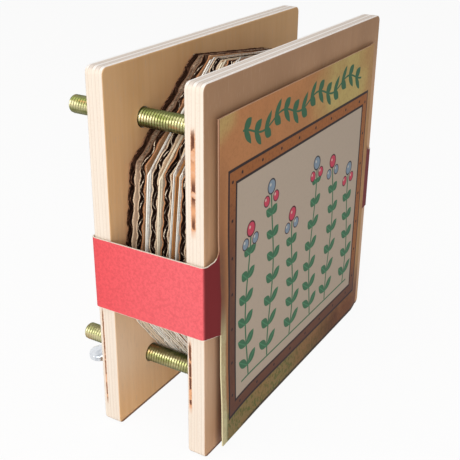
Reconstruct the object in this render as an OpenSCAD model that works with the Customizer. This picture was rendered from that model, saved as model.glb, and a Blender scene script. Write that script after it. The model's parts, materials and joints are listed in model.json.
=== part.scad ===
// Small square flower press: two plywood boards on four coach bolts with wing nuts,
// a stack of corrugated cards and blotting papers between them, and a printed paper sleeve.
// It stands on the boards' lower edges. The label side faces -Y and the bolts point along +Y.

/* [Boards] */
// Width of each board
board_w = 120; // [100:1:160]
// Height of each board
board_h = 120; // [100:1:160]
// Thickness of each board
board_t = 6.2; // [5.4:0.1:9]
// Radius of a board's four corners
board_corner_r = 2.2; // [2:0.1:9]
// Radius of the rounding along a board's edges
board_ease_r = 0.5; // [0.3:0.1:1.5]
// Distance from a board's edges to the axes of the bolts
bolt_inset = 18.5; // [15:0.5:23]
// Gap all round between a bolt and its hole in a board
bolt_hole_gap = 0.3; // [0.1:0.05:0.6]

/* [Coach bolts] */
// Outer diameter of the thread
bolt_d = 6; // [5:0.5:8]
// Length from under the head to the tip
bolt_len = 59; // [54:1:80]
// Pitch of the thread
thread_pitch = 1; // [0.7:0.05:1.25]
// Turns of the wing nuts from the loose stack to the tight one
press_turns = 3; // [1:1:4]
// Diameter of the domed head
head_d = 14; // [12:0.5:18]
// Height of the domed head
head_h = 2.6; // [2.2:0.1:4]
// Height of the head's straight rim
head_rim_h = 0.6; // [0.3:0.1:1]
// Depth to which the head is let into the front board
head_seat = 1.6; // [0.5:0.1:2]
// Width of the square neck, across its flats
neck_w = 6; // [5:0.5:9]
// Length of the square neck
neck_len = 3; // [2:0.1:3.6]
// Length of the chamfer at the bolt's tip
tip_chamfer = 0.8; // [0.4:0.1:1.5]

/* [Washers and wing nuts] */
// Outer diameter of a washer
washer_d = 12.5; // [11:0.5:18]
// Thickness of a washer
washer_t = 1.2; // [0.8:0.1:2]
// Gap all round between a bolt and its washer
washer_gap = 0.2; // [0.1:0.05:0.5]
// Diameter of a wing nut's hub at its foot
hub_foot_d = 11.4; // [10:0.2:14]
// Diameter of the hub at its top
hub_top_d = 9.4; // [8.6:0.2:12]
// Height of the hub
hub_h = 6.4; // [5:0.2:8]
// Distance between the tips of the two wings
wing_span = 25.6; // [23:0.2:32]
// Height of the wings above the hub's foot
wing_h = 11; // [9:0.5:14]
// Radius of a wing's round tip
wing_tip_r = 3.4; // [2.4:0.2:4]
// Radius of a wing's root, where it grows out of the hub
wing_root_r = 2.6; // [1.6:0.2:3]
// Thickness of a wing at the hub
wing_root_t = 3.2; // [2:0.2:4]
// Thickness of a wing at its tip
wing_tip_t = 1.8; // [1:0.2:2.6]

/* [Pressing stack] */
// Margin between the boards' edges and the sheets' straight sides
sheet_inset = 6; // [5:0.5:10]
// Room between a bolt and the sheets' cut corners, square to the cut
sheet_corner_room = 1.2; // [1:0.1:4]
// Thickness of a corrugated card
card_t = 3; // [2.4:0.1:4]
// Thickness of a card's two flat faces
card_face_t = 0.35; // [0.2:0.05:0.6]
// Thickness of a card's wavy middle
card_wave_t = 0.4; // [0.25:0.05:0.6]
// Distance from one wave of the middle to the next
flute_pitch = 6.4; // [5:0.2:9]
// Thickness of one thin blotting paper
blotter_t = 0.38; // [0.2:0.02:0.8]
// Thickness of one thick blotting paper
thick_blotter_t = 0.55; // [0.3:0.05:1]
// Thickness of one kraft paper
kraft_t = 0.58; // [0.3:0.02:1]

/* [Paper sleeve] */
// Thickness of the sleeve's card
sleeve_t = 0.4; // [0.3:0.05:0.8]
// Width of the belly band that wraps round the boards
band_w = 24.2; // [16:0.2:32]
// How far the band's middle lies below the boards' middle
band_drop = 4.1; // [0:0.1:9]
// Gap between the band and the boards at the sides and the back
band_gap = 0.4; // [0.2:0.1:1.2]
// Gap between the front panel and the bolts' heads
panel_head_gap = 0.2; // [0.1:0.05:1]
// Inner radius of the folds where the band turns a corner
band_fold_r = 1.2; // [0.6:0.1:2]
// Margin between the boards' sides and the front panel
panel_side_inset = 5; // [4:0.5:9]
// Height of the panel's lower edge above the table
panel_foot = 1; // [0.5:0.5:4]
// Margin between the boards' top and the panel
panel_top_inset = 9.5; // [6:0.5:14]
// Radius of the fillets where the panel grows out of the band's upper edge
panel_fillet_r = 4; // [2:0.5:5]
// Width of the glued overlap at the back of the band
band_overlap = 14; // [8:1:24]

/* [Hidden] */
$fn = 64;

// How far a cut runs past the face that it leaves
over = 1;
// Radial gap between a nut's bore and the bolt's thread
thread_gap = 0.05;
// Gap all round between a square neck and its socket
neck_gap = 0.05;
// Gap that is left between neighbouring layers when the press is tight
tight_gap = 0.02;
// Gap between the lower bolts and the sheets that rest on them
sheet_seat_gap = 0.3;
// Gap between the two papers of a pair
leaf_gap = 0.04;
// Chamfer on a washer's outer edges
washer_chamfer = 0.25;
// Chamfer at the mouth of a wing nut's bore
bore_chamfer = 0.5;

// Angles of the four wing nuts' wings from level, in the order of the bolts
wing_angles = [4, 84, 52, 118];
// Angle by which each paper of a pair is turned from its pair's own angle
leaf_twist = 0.7;

// The stack from the front board to the rear board: kind of layer, and how far it is turned
CARD = 0;
THIN = 1;
THICK = 2;
KRAFT = 3;
stack = [
    [CARD, -5], [THIN, -6], [CARD, -6.5], [THIN, -8], [KRAFT, -7.5], [THIN, -8.3],
    [CARD, -7], [THICK, -6], [CARD, -7], [THICK, -6.5], [CARD, -8], [CARD, -7.5]
];
layer_count = len(stack);
// Shares of the press's play in the gaps from front to rear: the rear cards lie the loosest
play_shares = [1, 1, 1, 1, 1, 1, 1, 1, 1, 1, 7, 7, 7];

function pair_t(paper_t) = 2 * paper_t + leaf_gap;
function layer_t(kind) =
    kind == CARD ? card_t
    : kind == THIN ? pair_t(blotter_t)
    : kind == THICK ? pair_t(thick_blotter_t)
    : pair_t(kraft_t);
function sum(list, count) = count == 0 ? 0 : list[count - 1] + sum(list, count - 1);

// Places along Y, counted from the front board's label face
layer_ts = [for (layer = stack) layer_t(layer[0])];
play_share = press_turns * thread_pitch / sum(play_shares, layer_count + 1);
function play(count) = sum(play_shares, count) * play_share + count * tight_gap;
stack_depth = sum(layer_ts, layer_count) + play(layer_count + 1);
rear_board_y = board_t + stack_depth;
press_d = rear_board_y + board_t;
bolt_tip_y = head_seat + bolt_len;
head_proud = head_h - head_seat;
panel_gap = head_proud + panel_head_gap;
sleeve_front_y = -(panel_gap + sleeve_t);
middle_y = (sleeve_front_y + bolt_tip_y) / 2;
function layer_y(i) = board_t + sum(layer_ts, i) + play(i + 1);

// Places across the boards: the bolts stand round the middle, the first one lower left
bolt_x = board_w / 2 - bolt_inset;
bolt_z = board_h / 2 - bolt_inset;
bolt_places = [[-bolt_x, -bolt_z], [-bolt_x, bolt_z], [bolt_x, -bolt_z], [bolt_x, bolt_z]];

// Half width and half height of a sheet, and where its cut corners cross the axes
sheet_x = board_w / 2 - sheet_inset;
sheet_z = board_h / 2 - sheet_inset;
sheet_cut = bolt_x + bolt_z - sqrt(2) * (bolt_d / 2 + sheet_corner_room);

// Moves a shape from the front board's label face to the frame of the whole press
module in_press() {
    translate([0, -middle_y, 0]) children();
}

// Points a shape made along +Z along +Y, on a bolt's axis at y
module on_bolt(place, y) {
    translate([place[0], y, board_h / 2 + place[1]]) rotate([-90, 0, 0]) children();
}

// Section of a board's rounded edge, from the corner's axis outwards
module edge_section() {
    straight_r = board_corner_r - board_ease_r;
    square([straight_r, board_t]);
    translate([straight_r, board_ease_r])
        square([board_ease_r, board_t - 2 * board_ease_r]);
    for (z = [board_ease_r, board_t - board_ease_r])
        translate([straight_r, z]) circle(board_ease_r);
}

// A straight edge of the board, of the given length along Y
module edge_bar(length) {
    translate([0, length / 2, 0]) rotate([90, 0, 0]) linear_extrude(length) edge_section();
}

// One plywood board with round corners and eased edges, lying on the XY plane
module eased_plate() {
    flat_w = board_w - 2 * board_corner_r;
    flat_h = board_h - 2 * board_corner_r;
    translate([-flat_w / 2, -flat_h / 2, 0]) cube([flat_w, flat_h, board_t]);
    for (side = [0, 180]) rotate([0, 0, side]) {
        translate([flat_w / 2, 0, 0]) edge_bar(flat_h);
        rotate([0, 0, 90]) translate([flat_h / 2, 0, 0]) edge_bar(flat_w);
        translate([flat_w / 2, flat_h / 2, 0]) rotate_extrude(angle = 90) edge_section();
        translate([-flat_w / 2, flat_h / 2, 0])
            rotate([0, 0, 90]) rotate_extrude(angle = 90) edge_section();
    }
}

module board(y) {
    translate([0, y + board_t, board_h / 2]) rotate([90, 0, 0]) eased_plate();
}

module bolt_hole(place, y) {
    on_bolt(place, y - over) cylinder(r = bolt_d / 2 + bolt_hole_gap, h = board_t + 2 * over);
}

// Square post round a bolt's axis, from its foot at y
module neck_post(place, y, width, length) {
    on_bolt(place, y) translate([-width / 2, -width / 2, 0]) cube([width, width, length]);
}

// The front board has a shallow seat for each head and a square socket for each neck
module front_board() {
    color([0.80, 0.65, 0.47]) in_press() difference() {
        board(0);
        for (place = bolt_places) {
            bolt_hole(place, 0);
            on_bolt(place, -over)
                cylinder(r = head_d / 2 + bolt_hole_gap, h = over + head_seat);
            neck_post(place, 0, neck_w + 2 * neck_gap, head_seat + neck_len);
        }
    }
}

module rear_board() {
    color([0.80, 0.65, 0.47]) in_press() difference() {
        board(rear_board_y);
        for (place = bolt_places) bolt_hole(place, rear_board_y);
    }
}

// Half section of a coach bolt's domed head: a straight rim under a cap of a sphere
module head_section() {
    cap_h = head_h - head_rim_h;
    cap_r = ((head_d / 2) ^ 2 + cap_h ^ 2) / (2 * cap_h);
    square([head_d / 2, head_rim_h]);
    translate([0, head_rim_h]) intersection() {
        translate([0, cap_h - cap_r]) circle(cap_r);
        square([head_d / 2, cap_h]);
    }
}

// A coach bolt: domed head at the front, square neck, and a shank with a chamfered tip
module bolt(i) {
    place = bolt_places[i];
    color([0.78, 0.70, 0.30]) in_press() {
        on_bolt(place, head_seat) mirror([0, 0, 1]) rotate_extrude() head_section();
        neck_post(place, head_seat, neck_w, neck_len);
        on_bolt(place, head_seat) cylinder(d = bolt_d, h = bolt_len - tip_chamfer);
        on_bolt(place, bolt_tip_y - tip_chamfer)
            cylinder(d1 = bolt_d, d2 = bolt_d - 2 * tip_chamfer, h = tip_chamfer);
    }
}

module washer_section() {
    hole_r = bolt_d / 2 + washer_gap;
    rim_r = washer_d / 2;
    polygon([
        [hole_r, 0], [rim_r - washer_chamfer, 0], [rim_r, washer_chamfer],
        [rim_r, washer_t - washer_chamfer], [rim_r - washer_chamfer, washer_t],
        [hole_r, washer_t]
    ]);
}

module washer(i) {
    color([0.72, 0.73, 0.75]) in_press()
        on_bolt(bolt_places[i], press_d) rotate_extrude() washer_section();
}

// Side view of a wing, from the hub's axis outwards and up
module wing_outline() {
    hull() {
        translate([hub_foot_d / 2 - wing_root_r / 2, wing_root_r]) circle(wing_root_r);
        translate([wing_span / 2 - wing_tip_r, wing_h - wing_tip_r]) circle(wing_tip_r);
    }
}

// Top view of a wing: it gets thinner from the hub to its tip
module wing_plan() {
    polygon([
        [bolt_d / 2, -wing_root_t / 2], [wing_span / 2, -wing_tip_t / 2],
        [wing_span / 2, wing_tip_t / 2], [bolt_d / 2, wing_root_t / 2]
    ]);
}

module wing() {
    intersection() {
        rotate([90, 0, 0]) translate([0, 0, -wing_root_t]) linear_extrude(2 * wing_root_t)
            wing_outline();
        translate([0, 0, -over]) linear_extrude(wing_h + 2 * over) wing_plan();
    }
}

// Half section of the hub, with a chamfer at each end of its bore
module hub_section() {
    bore_r = bolt_d / 2 + thread_gap;
    polygon([
        [bore_r, bore_chamfer], [bore_r + bore_chamfer, 0], [hub_foot_d / 2, 0],
        [hub_top_d / 2, hub_h], [bore_r + bore_chamfer, hub_h], [bore_r, hub_h - bore_chamfer]
    ]);
}

module wing_nut(i) {
    color([0.75, 0.76, 0.78]) in_press()
        on_bolt(bolt_places[i], press_d + washer_t) rotate([0, 0, -wing_angles[i]]) {
            rotate_extrude() hub_section();
            difference() {
                for (side = [0, 180]) rotate([0, 0, side]) wing();
                translate([0, 0, -over])
                    cylinder(r = hub_top_d / 2 - bore_chamfer, h = wing_h + 2 * over);
            }
        }
}

// Outline of a sheet: a rectangle with its four corners cut off at 45 degrees
module sheet_outline() {
    side_z = sheet_cut - sheet_x;
    top_x = sheet_cut - sheet_z;
    polygon([
        [-sheet_x, -side_z], [-top_x, -sheet_z], [top_x, -sheet_z], [sheet_x, -side_z],
        [sheet_x, side_z], [top_x, sheet_z], [-top_x, sheet_z], [-sheet_x, side_z]
    ]);
}

// Where a sheet's middle lies when its two lower cut corners rest on the lower bolts:
// along each cut's normal it drops until the cut is one seat gap away from its bolt
rest_distance = sheet_cut / sqrt(2) + bolt_d / 2 + sheet_seat_gap;
function left_way(angle) =
    bolt_x * cos(45 + angle) + bolt_z * sin(45 + angle) - rest_distance;
function right_way(angle) =
    bolt_x * cos(45 - angle) + bolt_z * sin(45 - angle) - rest_distance;
function rest_place(angle) = [
    -left_way(angle) * cos(45 + angle) + right_way(angle) * cos(45 - angle),
    -left_way(angle) * sin(45 + angle) - right_way(angle) * sin(45 - angle)
];

// Turns a sheet in the plane of the boards and rests it on the lower bolts
module rested(angle) {
    place = rest_place(angle);
    translate([place[0], 0, board_h / 2 + place[1]]) rotate([0, -angle, 0]) children();
}

// Section of a corrugated card across its flutes: every hollow is bounded by one face
// and by the wave of the middle, whose top side is a cosine
flute_steps = 6;
flute_arc = 135;
flute_mouth_share = 165 / 360;
card_inside = card_t - 2 * card_face_t;
wave_height = (card_inside - card_wave_t) / 2;
flute_total = ceil(sheet_z / flute_pitch) + 1;

function hollow(middle, side) = [
    for (i = [0 : flute_steps])
        let (angle = flute_arc * (2 * i / flute_steps - 1))
            [card_t / 2 + side * (card_wave_t / 2 - wave_height * cos(angle)),
             middle + flute_pitch * angle / 360],
    [card_t / 2 + side * card_inside / 2, middle + flute_pitch * flute_mouth_share],
    [card_t / 2 + side * card_inside / 2, middle - flute_pitch * flute_mouth_share]
];
hollows = [
    for (i = [-flute_total : flute_total])
        each [hollow(i * flute_pitch, 1), hollow((i + 1 / 2) * flute_pitch, -1)]
];
hollow_points = flute_steps + 3;

module card_section() {
    reach = (flute_total + 1) * flute_pitch;
    rim = [[0, -reach], [card_t, -reach], [card_t, reach], [0, reach]];
    polygon(
        points = concat(rim, [for (loop = hollows) each loop]),
        paths = concat(
            [[for (i = [0 : len(rim) - 1]) i]],
            [for (k = [0 : len(hollows) - 1])
                [for (i = [0 : hollow_points - 1]) len(rim) + k * hollow_points + i]]
        )
    );
}

// One corrugated card, with its flutes along its own width
module card(angle, y) {
    translate([0, y, 0]) rested(angle) intersection() {
        translate([0, card_t + over, 0]) rotate([90, 0, 0])
            linear_extrude(card_t + 2 * over) sheet_outline();
        translate([-sheet_x - over, 0, 0]) rotate([90, 0, 90])
            linear_extrude(2 * (sheet_x + over)) card_section();
    }
}

module leaf(angle, y, paper_t) {
    translate([0, y + paper_t, 0]) rested(angle) rotate([90, 0, 0])
        linear_extrude(paper_t) sheet_outline();
}

// Two loose papers, each turned a little to its own side; a plant lies between them
module paper_pair(angle, y, paper_t) {
    leaf(angle - leaf_twist, y, paper_t);
    leaf(angle + leaf_twist, y + paper_t + leaf_gap, paper_t);
}

module layer(i) {
    kind = stack[i][0];
    angle = stack[i][1];
    in_press() {
        if (kind == CARD) color([0.66, 0.52, 0.38]) card(angle, layer_y(i));
        if (kind == THIN) color([0.95, 0.94, 0.90])
            paper_pair(angle, layer_y(i), blotter_t);
        if (kind == THICK) color([0.92, 0.88, 0.78])
            paper_pair(angle, layer_y(i), thick_blotter_t);
        if (kind == KRAFT) color([0.74, 0.53, 0.34]) paper_pair(angle, layer_y(i), kraft_t);
    }
}

// Sizes of the sleeve: the hollow that the band goes round, and the height of its foot
band_in_x = board_w / 2 + band_gap;
band_front_y = -panel_gap;
band_back_y = press_d + band_gap;
band_foot = board_h / 2 - band_drop - band_w / 2;
band_top = band_foot + band_w;

// A straight wall of the band between two inner corners, outside the line from x1 to x2
module band_wall_along_x(y) {
    translate([-band_in_x + band_fold_r, y, band_foot])
        cube([2 * (band_in_x - band_fold_r), sleeve_t, band_w]);
}

module band_wall_along_y(x) {
    translate([x, band_front_y + band_fold_r, band_foot])
        cube([sleeve_t, band_back_y - band_front_y - 2 * band_fold_r, band_w]);
}

module band_fold(x, y, start) {
    translate([x, y, band_foot]) rotate([0, 0, start]) rotate_extrude(angle = 90)
        translate([band_fold_r, 0]) square([sleeve_t, band_w]);
}

// The belly band: four walls, four folds and the glued overlap at the back
module band() {
    fold_x = band_in_x - band_fold_r;
    band_wall_along_x(band_front_y - sleeve_t);
    band_wall_along_x(band_back_y);
    band_wall_along_y(-band_in_x - sleeve_t);
    band_wall_along_y(band_in_x);
    band_fold(fold_x, band_back_y - band_fold_r, 0);
    band_fold(-fold_x, band_back_y - band_fold_r, 90);
    band_fold(-fold_x, band_front_y + band_fold_r, 180);
    band_fold(fold_x, band_front_y + band_fold_r, 270);
    translate([-band_overlap / 2, band_back_y + sleeve_t, band_foot])
        cube([band_overlap, sleeve_t, band_w]);
}

// Outline of the front panel above and below the band, with a fillet at each upper corner
module panel_outline() {
    panel_x = board_w / 2 - panel_side_inset;
    translate([-panel_x, panel_foot])
        square([2 * panel_x, board_h - panel_top_inset - panel_foot]);
    for (side = [-1, 1]) difference() {
        translate([side * (panel_x + panel_fillet_r / 2), band_top + panel_fillet_r / 2])
            square(panel_fillet_r, center = true);
        translate([side * (panel_x + panel_fillet_r), band_top + panel_fillet_r])
            circle(panel_fillet_r);
    }
}

module paper_sleeve() {
    color([0.86, 0.36, 0.38]) in_press() {
        band();
        translate([0, band_front_y, 0]) rotate([90, 0, 0]) linear_extrude(sleeve_t)
            panel_outline();
    }
}

front_board();
rear_board();
bolt(0);  // bolt_1
bolt(1);  // bolt_2
bolt(2);  // bolt_3
bolt(3);  // bolt_4
washer(0);  // washer_1
washer(1);  // washer_2
washer(2);  // washer_3
washer(3);  // washer_4
wing_nut(0);  // wing_nut_1
wing_nut(1);  // wing_nut_2
wing_nut(2);  // wing_nut_3
wing_nut(3);  // wing_nut_4
layer(0);  // corrugated_card_1
layer(1);  // blotting_papers_1
layer(2);  // corrugated_card_2
layer(3);  // blotting_papers_2
layer(4);  // kraft_papers
layer(5);  // blotting_papers_3
layer(6);  // corrugated_card_3
layer(7);  // blotting_papers_4
layer(8);  // corrugated_card_4
layer(9);  // blotting_papers_5
layer(10);  // corrugated_card_5
layer(11);  // corrugated_card_6
paper_sleeve();
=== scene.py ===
"""Looks of a small flower press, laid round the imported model: threaded coach bolts, cast wing
nuts, wavy cards and papers, a folded paper sleeve, the finishes and a white studio."""

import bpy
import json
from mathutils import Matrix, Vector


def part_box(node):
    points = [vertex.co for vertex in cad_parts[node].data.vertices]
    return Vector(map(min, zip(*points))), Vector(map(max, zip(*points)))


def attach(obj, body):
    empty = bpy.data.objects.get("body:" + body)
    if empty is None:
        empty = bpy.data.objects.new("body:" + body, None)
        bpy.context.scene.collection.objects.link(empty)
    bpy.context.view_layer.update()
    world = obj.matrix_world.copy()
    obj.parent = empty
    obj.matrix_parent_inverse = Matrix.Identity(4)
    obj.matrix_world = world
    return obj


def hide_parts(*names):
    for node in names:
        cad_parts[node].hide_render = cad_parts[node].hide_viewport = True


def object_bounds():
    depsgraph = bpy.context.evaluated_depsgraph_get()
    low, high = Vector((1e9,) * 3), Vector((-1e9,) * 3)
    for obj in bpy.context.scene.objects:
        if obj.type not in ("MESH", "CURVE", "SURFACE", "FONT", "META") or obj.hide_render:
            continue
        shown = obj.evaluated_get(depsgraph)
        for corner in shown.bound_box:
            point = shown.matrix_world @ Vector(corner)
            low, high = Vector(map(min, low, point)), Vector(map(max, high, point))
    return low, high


bl_info = {
    "name": "Flower press",
    "version": (1, 0, 0),
    "blender": (4, 5, 0),
    "location": "3D View > Sidebar > Flower press",
    "description": "Makes the looks of a small plywood flower press round its packed model",
    "category": "Object",
}

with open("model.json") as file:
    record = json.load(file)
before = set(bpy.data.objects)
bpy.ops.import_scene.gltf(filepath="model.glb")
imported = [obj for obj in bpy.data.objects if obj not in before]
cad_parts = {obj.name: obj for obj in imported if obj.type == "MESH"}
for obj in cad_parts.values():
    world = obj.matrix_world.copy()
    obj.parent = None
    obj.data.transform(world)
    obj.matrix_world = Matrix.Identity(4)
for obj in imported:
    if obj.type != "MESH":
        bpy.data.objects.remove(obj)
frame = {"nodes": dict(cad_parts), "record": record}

import json
import math

import bmesh
import bpy
import numpy as np
from bpy.props import FloatProperty, FloatVectorProperty, IntProperty, PointerProperty
from mathutils import Matrix, Vector, geometry

MM = 0.001
TO_MM = 1000
WHITE = (1, 1, 1)
CAD_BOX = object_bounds()
CORNERS = ("1", "2", "3", "4")
CARDS = tuple(f"corrugated_card_{i}" for i in range(1, 7))
PAPERS = tuple(f"blotting_papers_{i}" for i in range(1, 6)) + ("kraft_papers",)

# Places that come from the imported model
BOLT_BOXES = {i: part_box(f"bolt_{i}") for i in CORNERS}
WASHER_BOXES = {i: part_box(f"washer_{i}") for i in CORNERS}
FRONT_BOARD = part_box("front_board")
REAR_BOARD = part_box("rear_board")
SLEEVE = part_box("paper_sleeve")
STACK_START = FRONT_BOARD[1].y
STACK_END = REAR_BOARD[0].y

# Points nearer than this count as one
TOUCH = 1e-7

# Gaps on the boards' near edges: lowest and highest point, the ply counted from the label side,
# half their width in plies, and how closed the row of dashes is
FRONT_GAP_RUNS = ((77 * MM, 107 * MM, 2.75, 0.5, 0.9), (99 * MM, 107 * MM, 2.8, 0.42, 0.26),
                  (86 * MM, 93 * MM, 2.7, 0.46, 0.24), (78 * MM, 82 * MM, 2.75, 0.4, 0.3),
                  (17 * MM, 41 * MM, 4.1, 0.28, 0.46))
REAR_GAP_RUNS = ((8 * MM, 42 * MM, 3.9, 0.12, 0.24),)

# Bolts: the shank's radius, the head's height, how deep the neck goes into the head, and the
# facets round the head
BOLT_R = 3 * MM
HEAD_HEIGHT = 2.6 * MM
NECK_ROOT = 0.5 * MM
HEAD_FACETS = 64

# Cards and papers: the shortest side that isn't a cut corner, how near a point lies to a plane
# that it is on, and how far in from a cut the card is crushed
LONG_SIDE = 20 * MM
PLANE_SLACK = 0.01 * MM
CRUSH_REACH = 2.5 * MM
# The thin row along a cut, the rows and columns of each kind of sheet, and the gap between a
# card's flutes and its faces
CUT_ROW = 0.5 * MM
LINER_ROW = 1.1 * MM
LINER_COLUMNS = 40
ROWS_PER_FLUTE = 18
FLUTE_COLUMNS = 16
PAPER_ROW = 2 * MM
PAPER_COLUMNS = 44
CREST_GAP = 0.02 * MM

# Each card from front to rear: the finishes of its front face, its middle, the middle's cut
# edge, and the cut edges of its front and back faces
CARD_PARTS = (
    ("brown_face", "middle", "flutes", "brown_cut", "brown_cut"),
    ("brown_face", "middle", "flutes", "pale_cut", "brown_cut"),
    ("brown_face", "middle", "flutes", "pale_cut", "brown_cut"),
    ("pale_face", "middle", "flutes", "pale_cut", "pale_cut"),
    # The two rear cards take painted shade at their upper cut corners, and the rearmost one dull
    # cut edges as painted shade
    ("brown_face", "upper_shaded_middle", "flutes", "brown_cut", "dim_cut"),
    ("shaded_face", "upper_shaded_middle", "shaded_flutes", "dim_cut", "shaded_cut"),
)
# The places of those finishes on a card's mesh, after the one of its back face
BACK, FRONT, MIDDLE, FLUTES, FRONT_CUT, BACK_CUT = range(6)

# Sleeve: half the panel's width, the radius where it grows out of the band, the narrow rows and
# columns along its cuts, the radius of its worn corner, and its columns
PANEL_HALF = FRONT_BOARD[1].x - 5 * MM
FILLET = 4 * MM
CUT_WIDTH = 0.35 * MM
WORN_CORNER = 2 * MM
PANEL_COLUMNS = np.array(sorted({
    *(-PANEL_HALF - FILLET * np.array([1, 0.75, 0.5, 0.25])),
    *np.linspace(-PANEL_HALF, PANEL_HALF, 57), -PANEL_HALF + CUT_WIDTH, PANEL_HALF - CUT_WIDTH,
    *(PANEL_HALF - np.array([0.8, 1.2, 1.6]) * MM),
    *(PANEL_HALF + FILLET * np.array([0.25, 0.5, 0.75, 1]))}))

# How far behind the sleeve's front its middle line runs, from the near fold to the far one: the
# panel is proud of the bolts' heads, and the strips beside it fall back to the folds
FRONT_PLACES = np.array([-59.4, -55, 49, 55, 59.4]) * MM
FRONT_DEPTHS = np.array([1.1, 0.2, 0.2, 1.05, 1.35]) * MM

# How far the panel's left edge stands off the bolts' heads, from its foot to its top, where
# the curl starts across the panel, and how far the lower corner is bent up
LIFT_HEIGHTS = np.array([0, 18, 29, 41, 56, 75, 111]) * MM
LIFT_SHARES = np.array([1.0, 0.88, 0.64, 0.61, 0.66, 0.17, 0.17])
CURL_HEIGHTS = np.array([0, 50]) * MM
CURL_STARTS = np.array([-25, -40]) * MM
CORNER_RISE = 2.3 * MM

# The print in millimetres: olive pools in the wash, as place, height, size and strength; half
# the border's width, the height of its middle, and half its height; the step of its dots; a
# sprig's width, foot and mean top, and the step and slope of its leaves; the garland's height
OLIVE_POOLS = ((-57, 114, 13, 0.65), (27, 104, 30, 1))
BORDER_HALF = 50
BORDER_MIDDLE = 52
BORDER_RISE = 42
DOT_STEP = 12
SPRIG_CELL = 15
SPRIG_FOOT = 22
SPRIG_TOP = 71
LEAF_STEP = 8
LEAF_SLOPE = math.radians(38)
GARLAND_HEIGHT = 102
# Berries on a sprig: place beside and above its top, radius, and whether they swap colours
BERRIES = ((0, 2.8, 2.8, False), (-3, -1.3, 2.1, True), (3, -1.3, 2.1, True))

# Stage: each lamp's place and side, and half the floor's side
KEY_LAMP = ((-0.70, -0.30, 0.32), 0.36)
TOP_LAMP = ((-0.25, 0.05, 0.80), 0.5)
FLOOR_HALF = 3.0


def srgb(red, green, blue):
    """A colour as it looks on a screen, 0 to 255 each, as the linear colour that shaders use."""
    shares = (red / 255, green / 255, blue / 255)
    return tuple(c / 12.92 if c < 0.04045 else ((c + 0.055) / 1.055) ** 2.4 for c in shares)


def colour(name, description, red, green, blue):
    """A colour property with a default given as it looks on a screen."""
    return FloatVectorProperty(name=name, description=description, size=3, subtype="COLOR",
                               min=0, max=1, default=srgb(red, green, blue))


def length(name, description, millimetres):
    """A length property with a default given in millimetres."""
    return FloatProperty(name=name, description=description, unit="LENGTH", precision=5,
                         default=millimetres * MM)


def share(name, description, value):
    """A property that is a share, from 0 to 1."""
    return FloatProperty(name=name, description=description, subtype="FACTOR",
                         min=0, max=1, default=value)


def shade(tone, times):
    """A colour at so many times its brightness."""
    return [c * times for c in tone]


# Sizes and colours that a user would change


class BoardLooks(bpy.types.PropertyGroup):
    plies: IntProperty(name="Plies", description="Veneers in a board", default=5, min=3, max=9)
    face: colour("Rear face", "Sanded face veneer of the rear board", 249, 206, 156)
    face_dark: colour("Rear grain", "Darker grain of the rear board's faces", 236, 186, 130)
    label_face: colour("Front face", "Sanded face veneer of the front board", 223, 178, 139)
    label_face_dark: colour("Front grain", "Darker grain of the front board", 193, 149, 113)
    edge: colour("Edge", "Plies cut along their grain", 247, 233, 217)
    edge_dark: colour("Cross ply", "Plies cut across their grain", 238, 217, 196)
    # Painted light: plies on edges that face up are drawn paler, standing in for light from above
    top_edge_painted_light: colour("Top edge", "Plies along a board's top", 255, 252, 250)
    glue: colour("Glue line", "Thin line between two plies", 204, 180, 158)
    gap: colour("Core gap", "Dark gaps in the core plies", 84, 40, 30)
    gap_warm: colour("Core gap edge", "Scorched wood beside the gaps", 226, 146, 82)


class BoltLooks(bpy.types.PropertyGroup):
    pitch: length("Pitch", "Distance from one turn of the thread to the next", 1)
    depth: length("Thread depth", "Height of the thread", 0.3)
    tip_r: length("Tip", "How far the bolt's ends are rounded", 1.0)
    neck: length("Neck", "Length of the square neck under the head", 3)
    head_rim: length("Head rim", "Height of the head's straight rim", 0.6)
    around: IntProperty(name="Facets", description="Facets round the shank", default=40, min=12)
    gold: colour("Gold", "Yellow zinc at its brightest", 204, 196, 152)
    olive: colour("Olive", "Greenish yellow zinc", 126, 132, 74)
    orange: colour("Orange", "Orange blush on the zinc", 196, 138, 94)


class NutLooks(bpy.types.PropertyGroup):
    grain: length("Grain", "Size of the cells that the casting is rounded with", 0.28)
    rounds: IntProperty(name="Rounding", description="Passes that round the edges", default=7)
    zinc: colour("Zinc", "Bright zinc plating", 226, 229, 233)
    zinc_dark: colour("Dull zinc", "Duller patches of the plating", 184, 189, 196)


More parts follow.
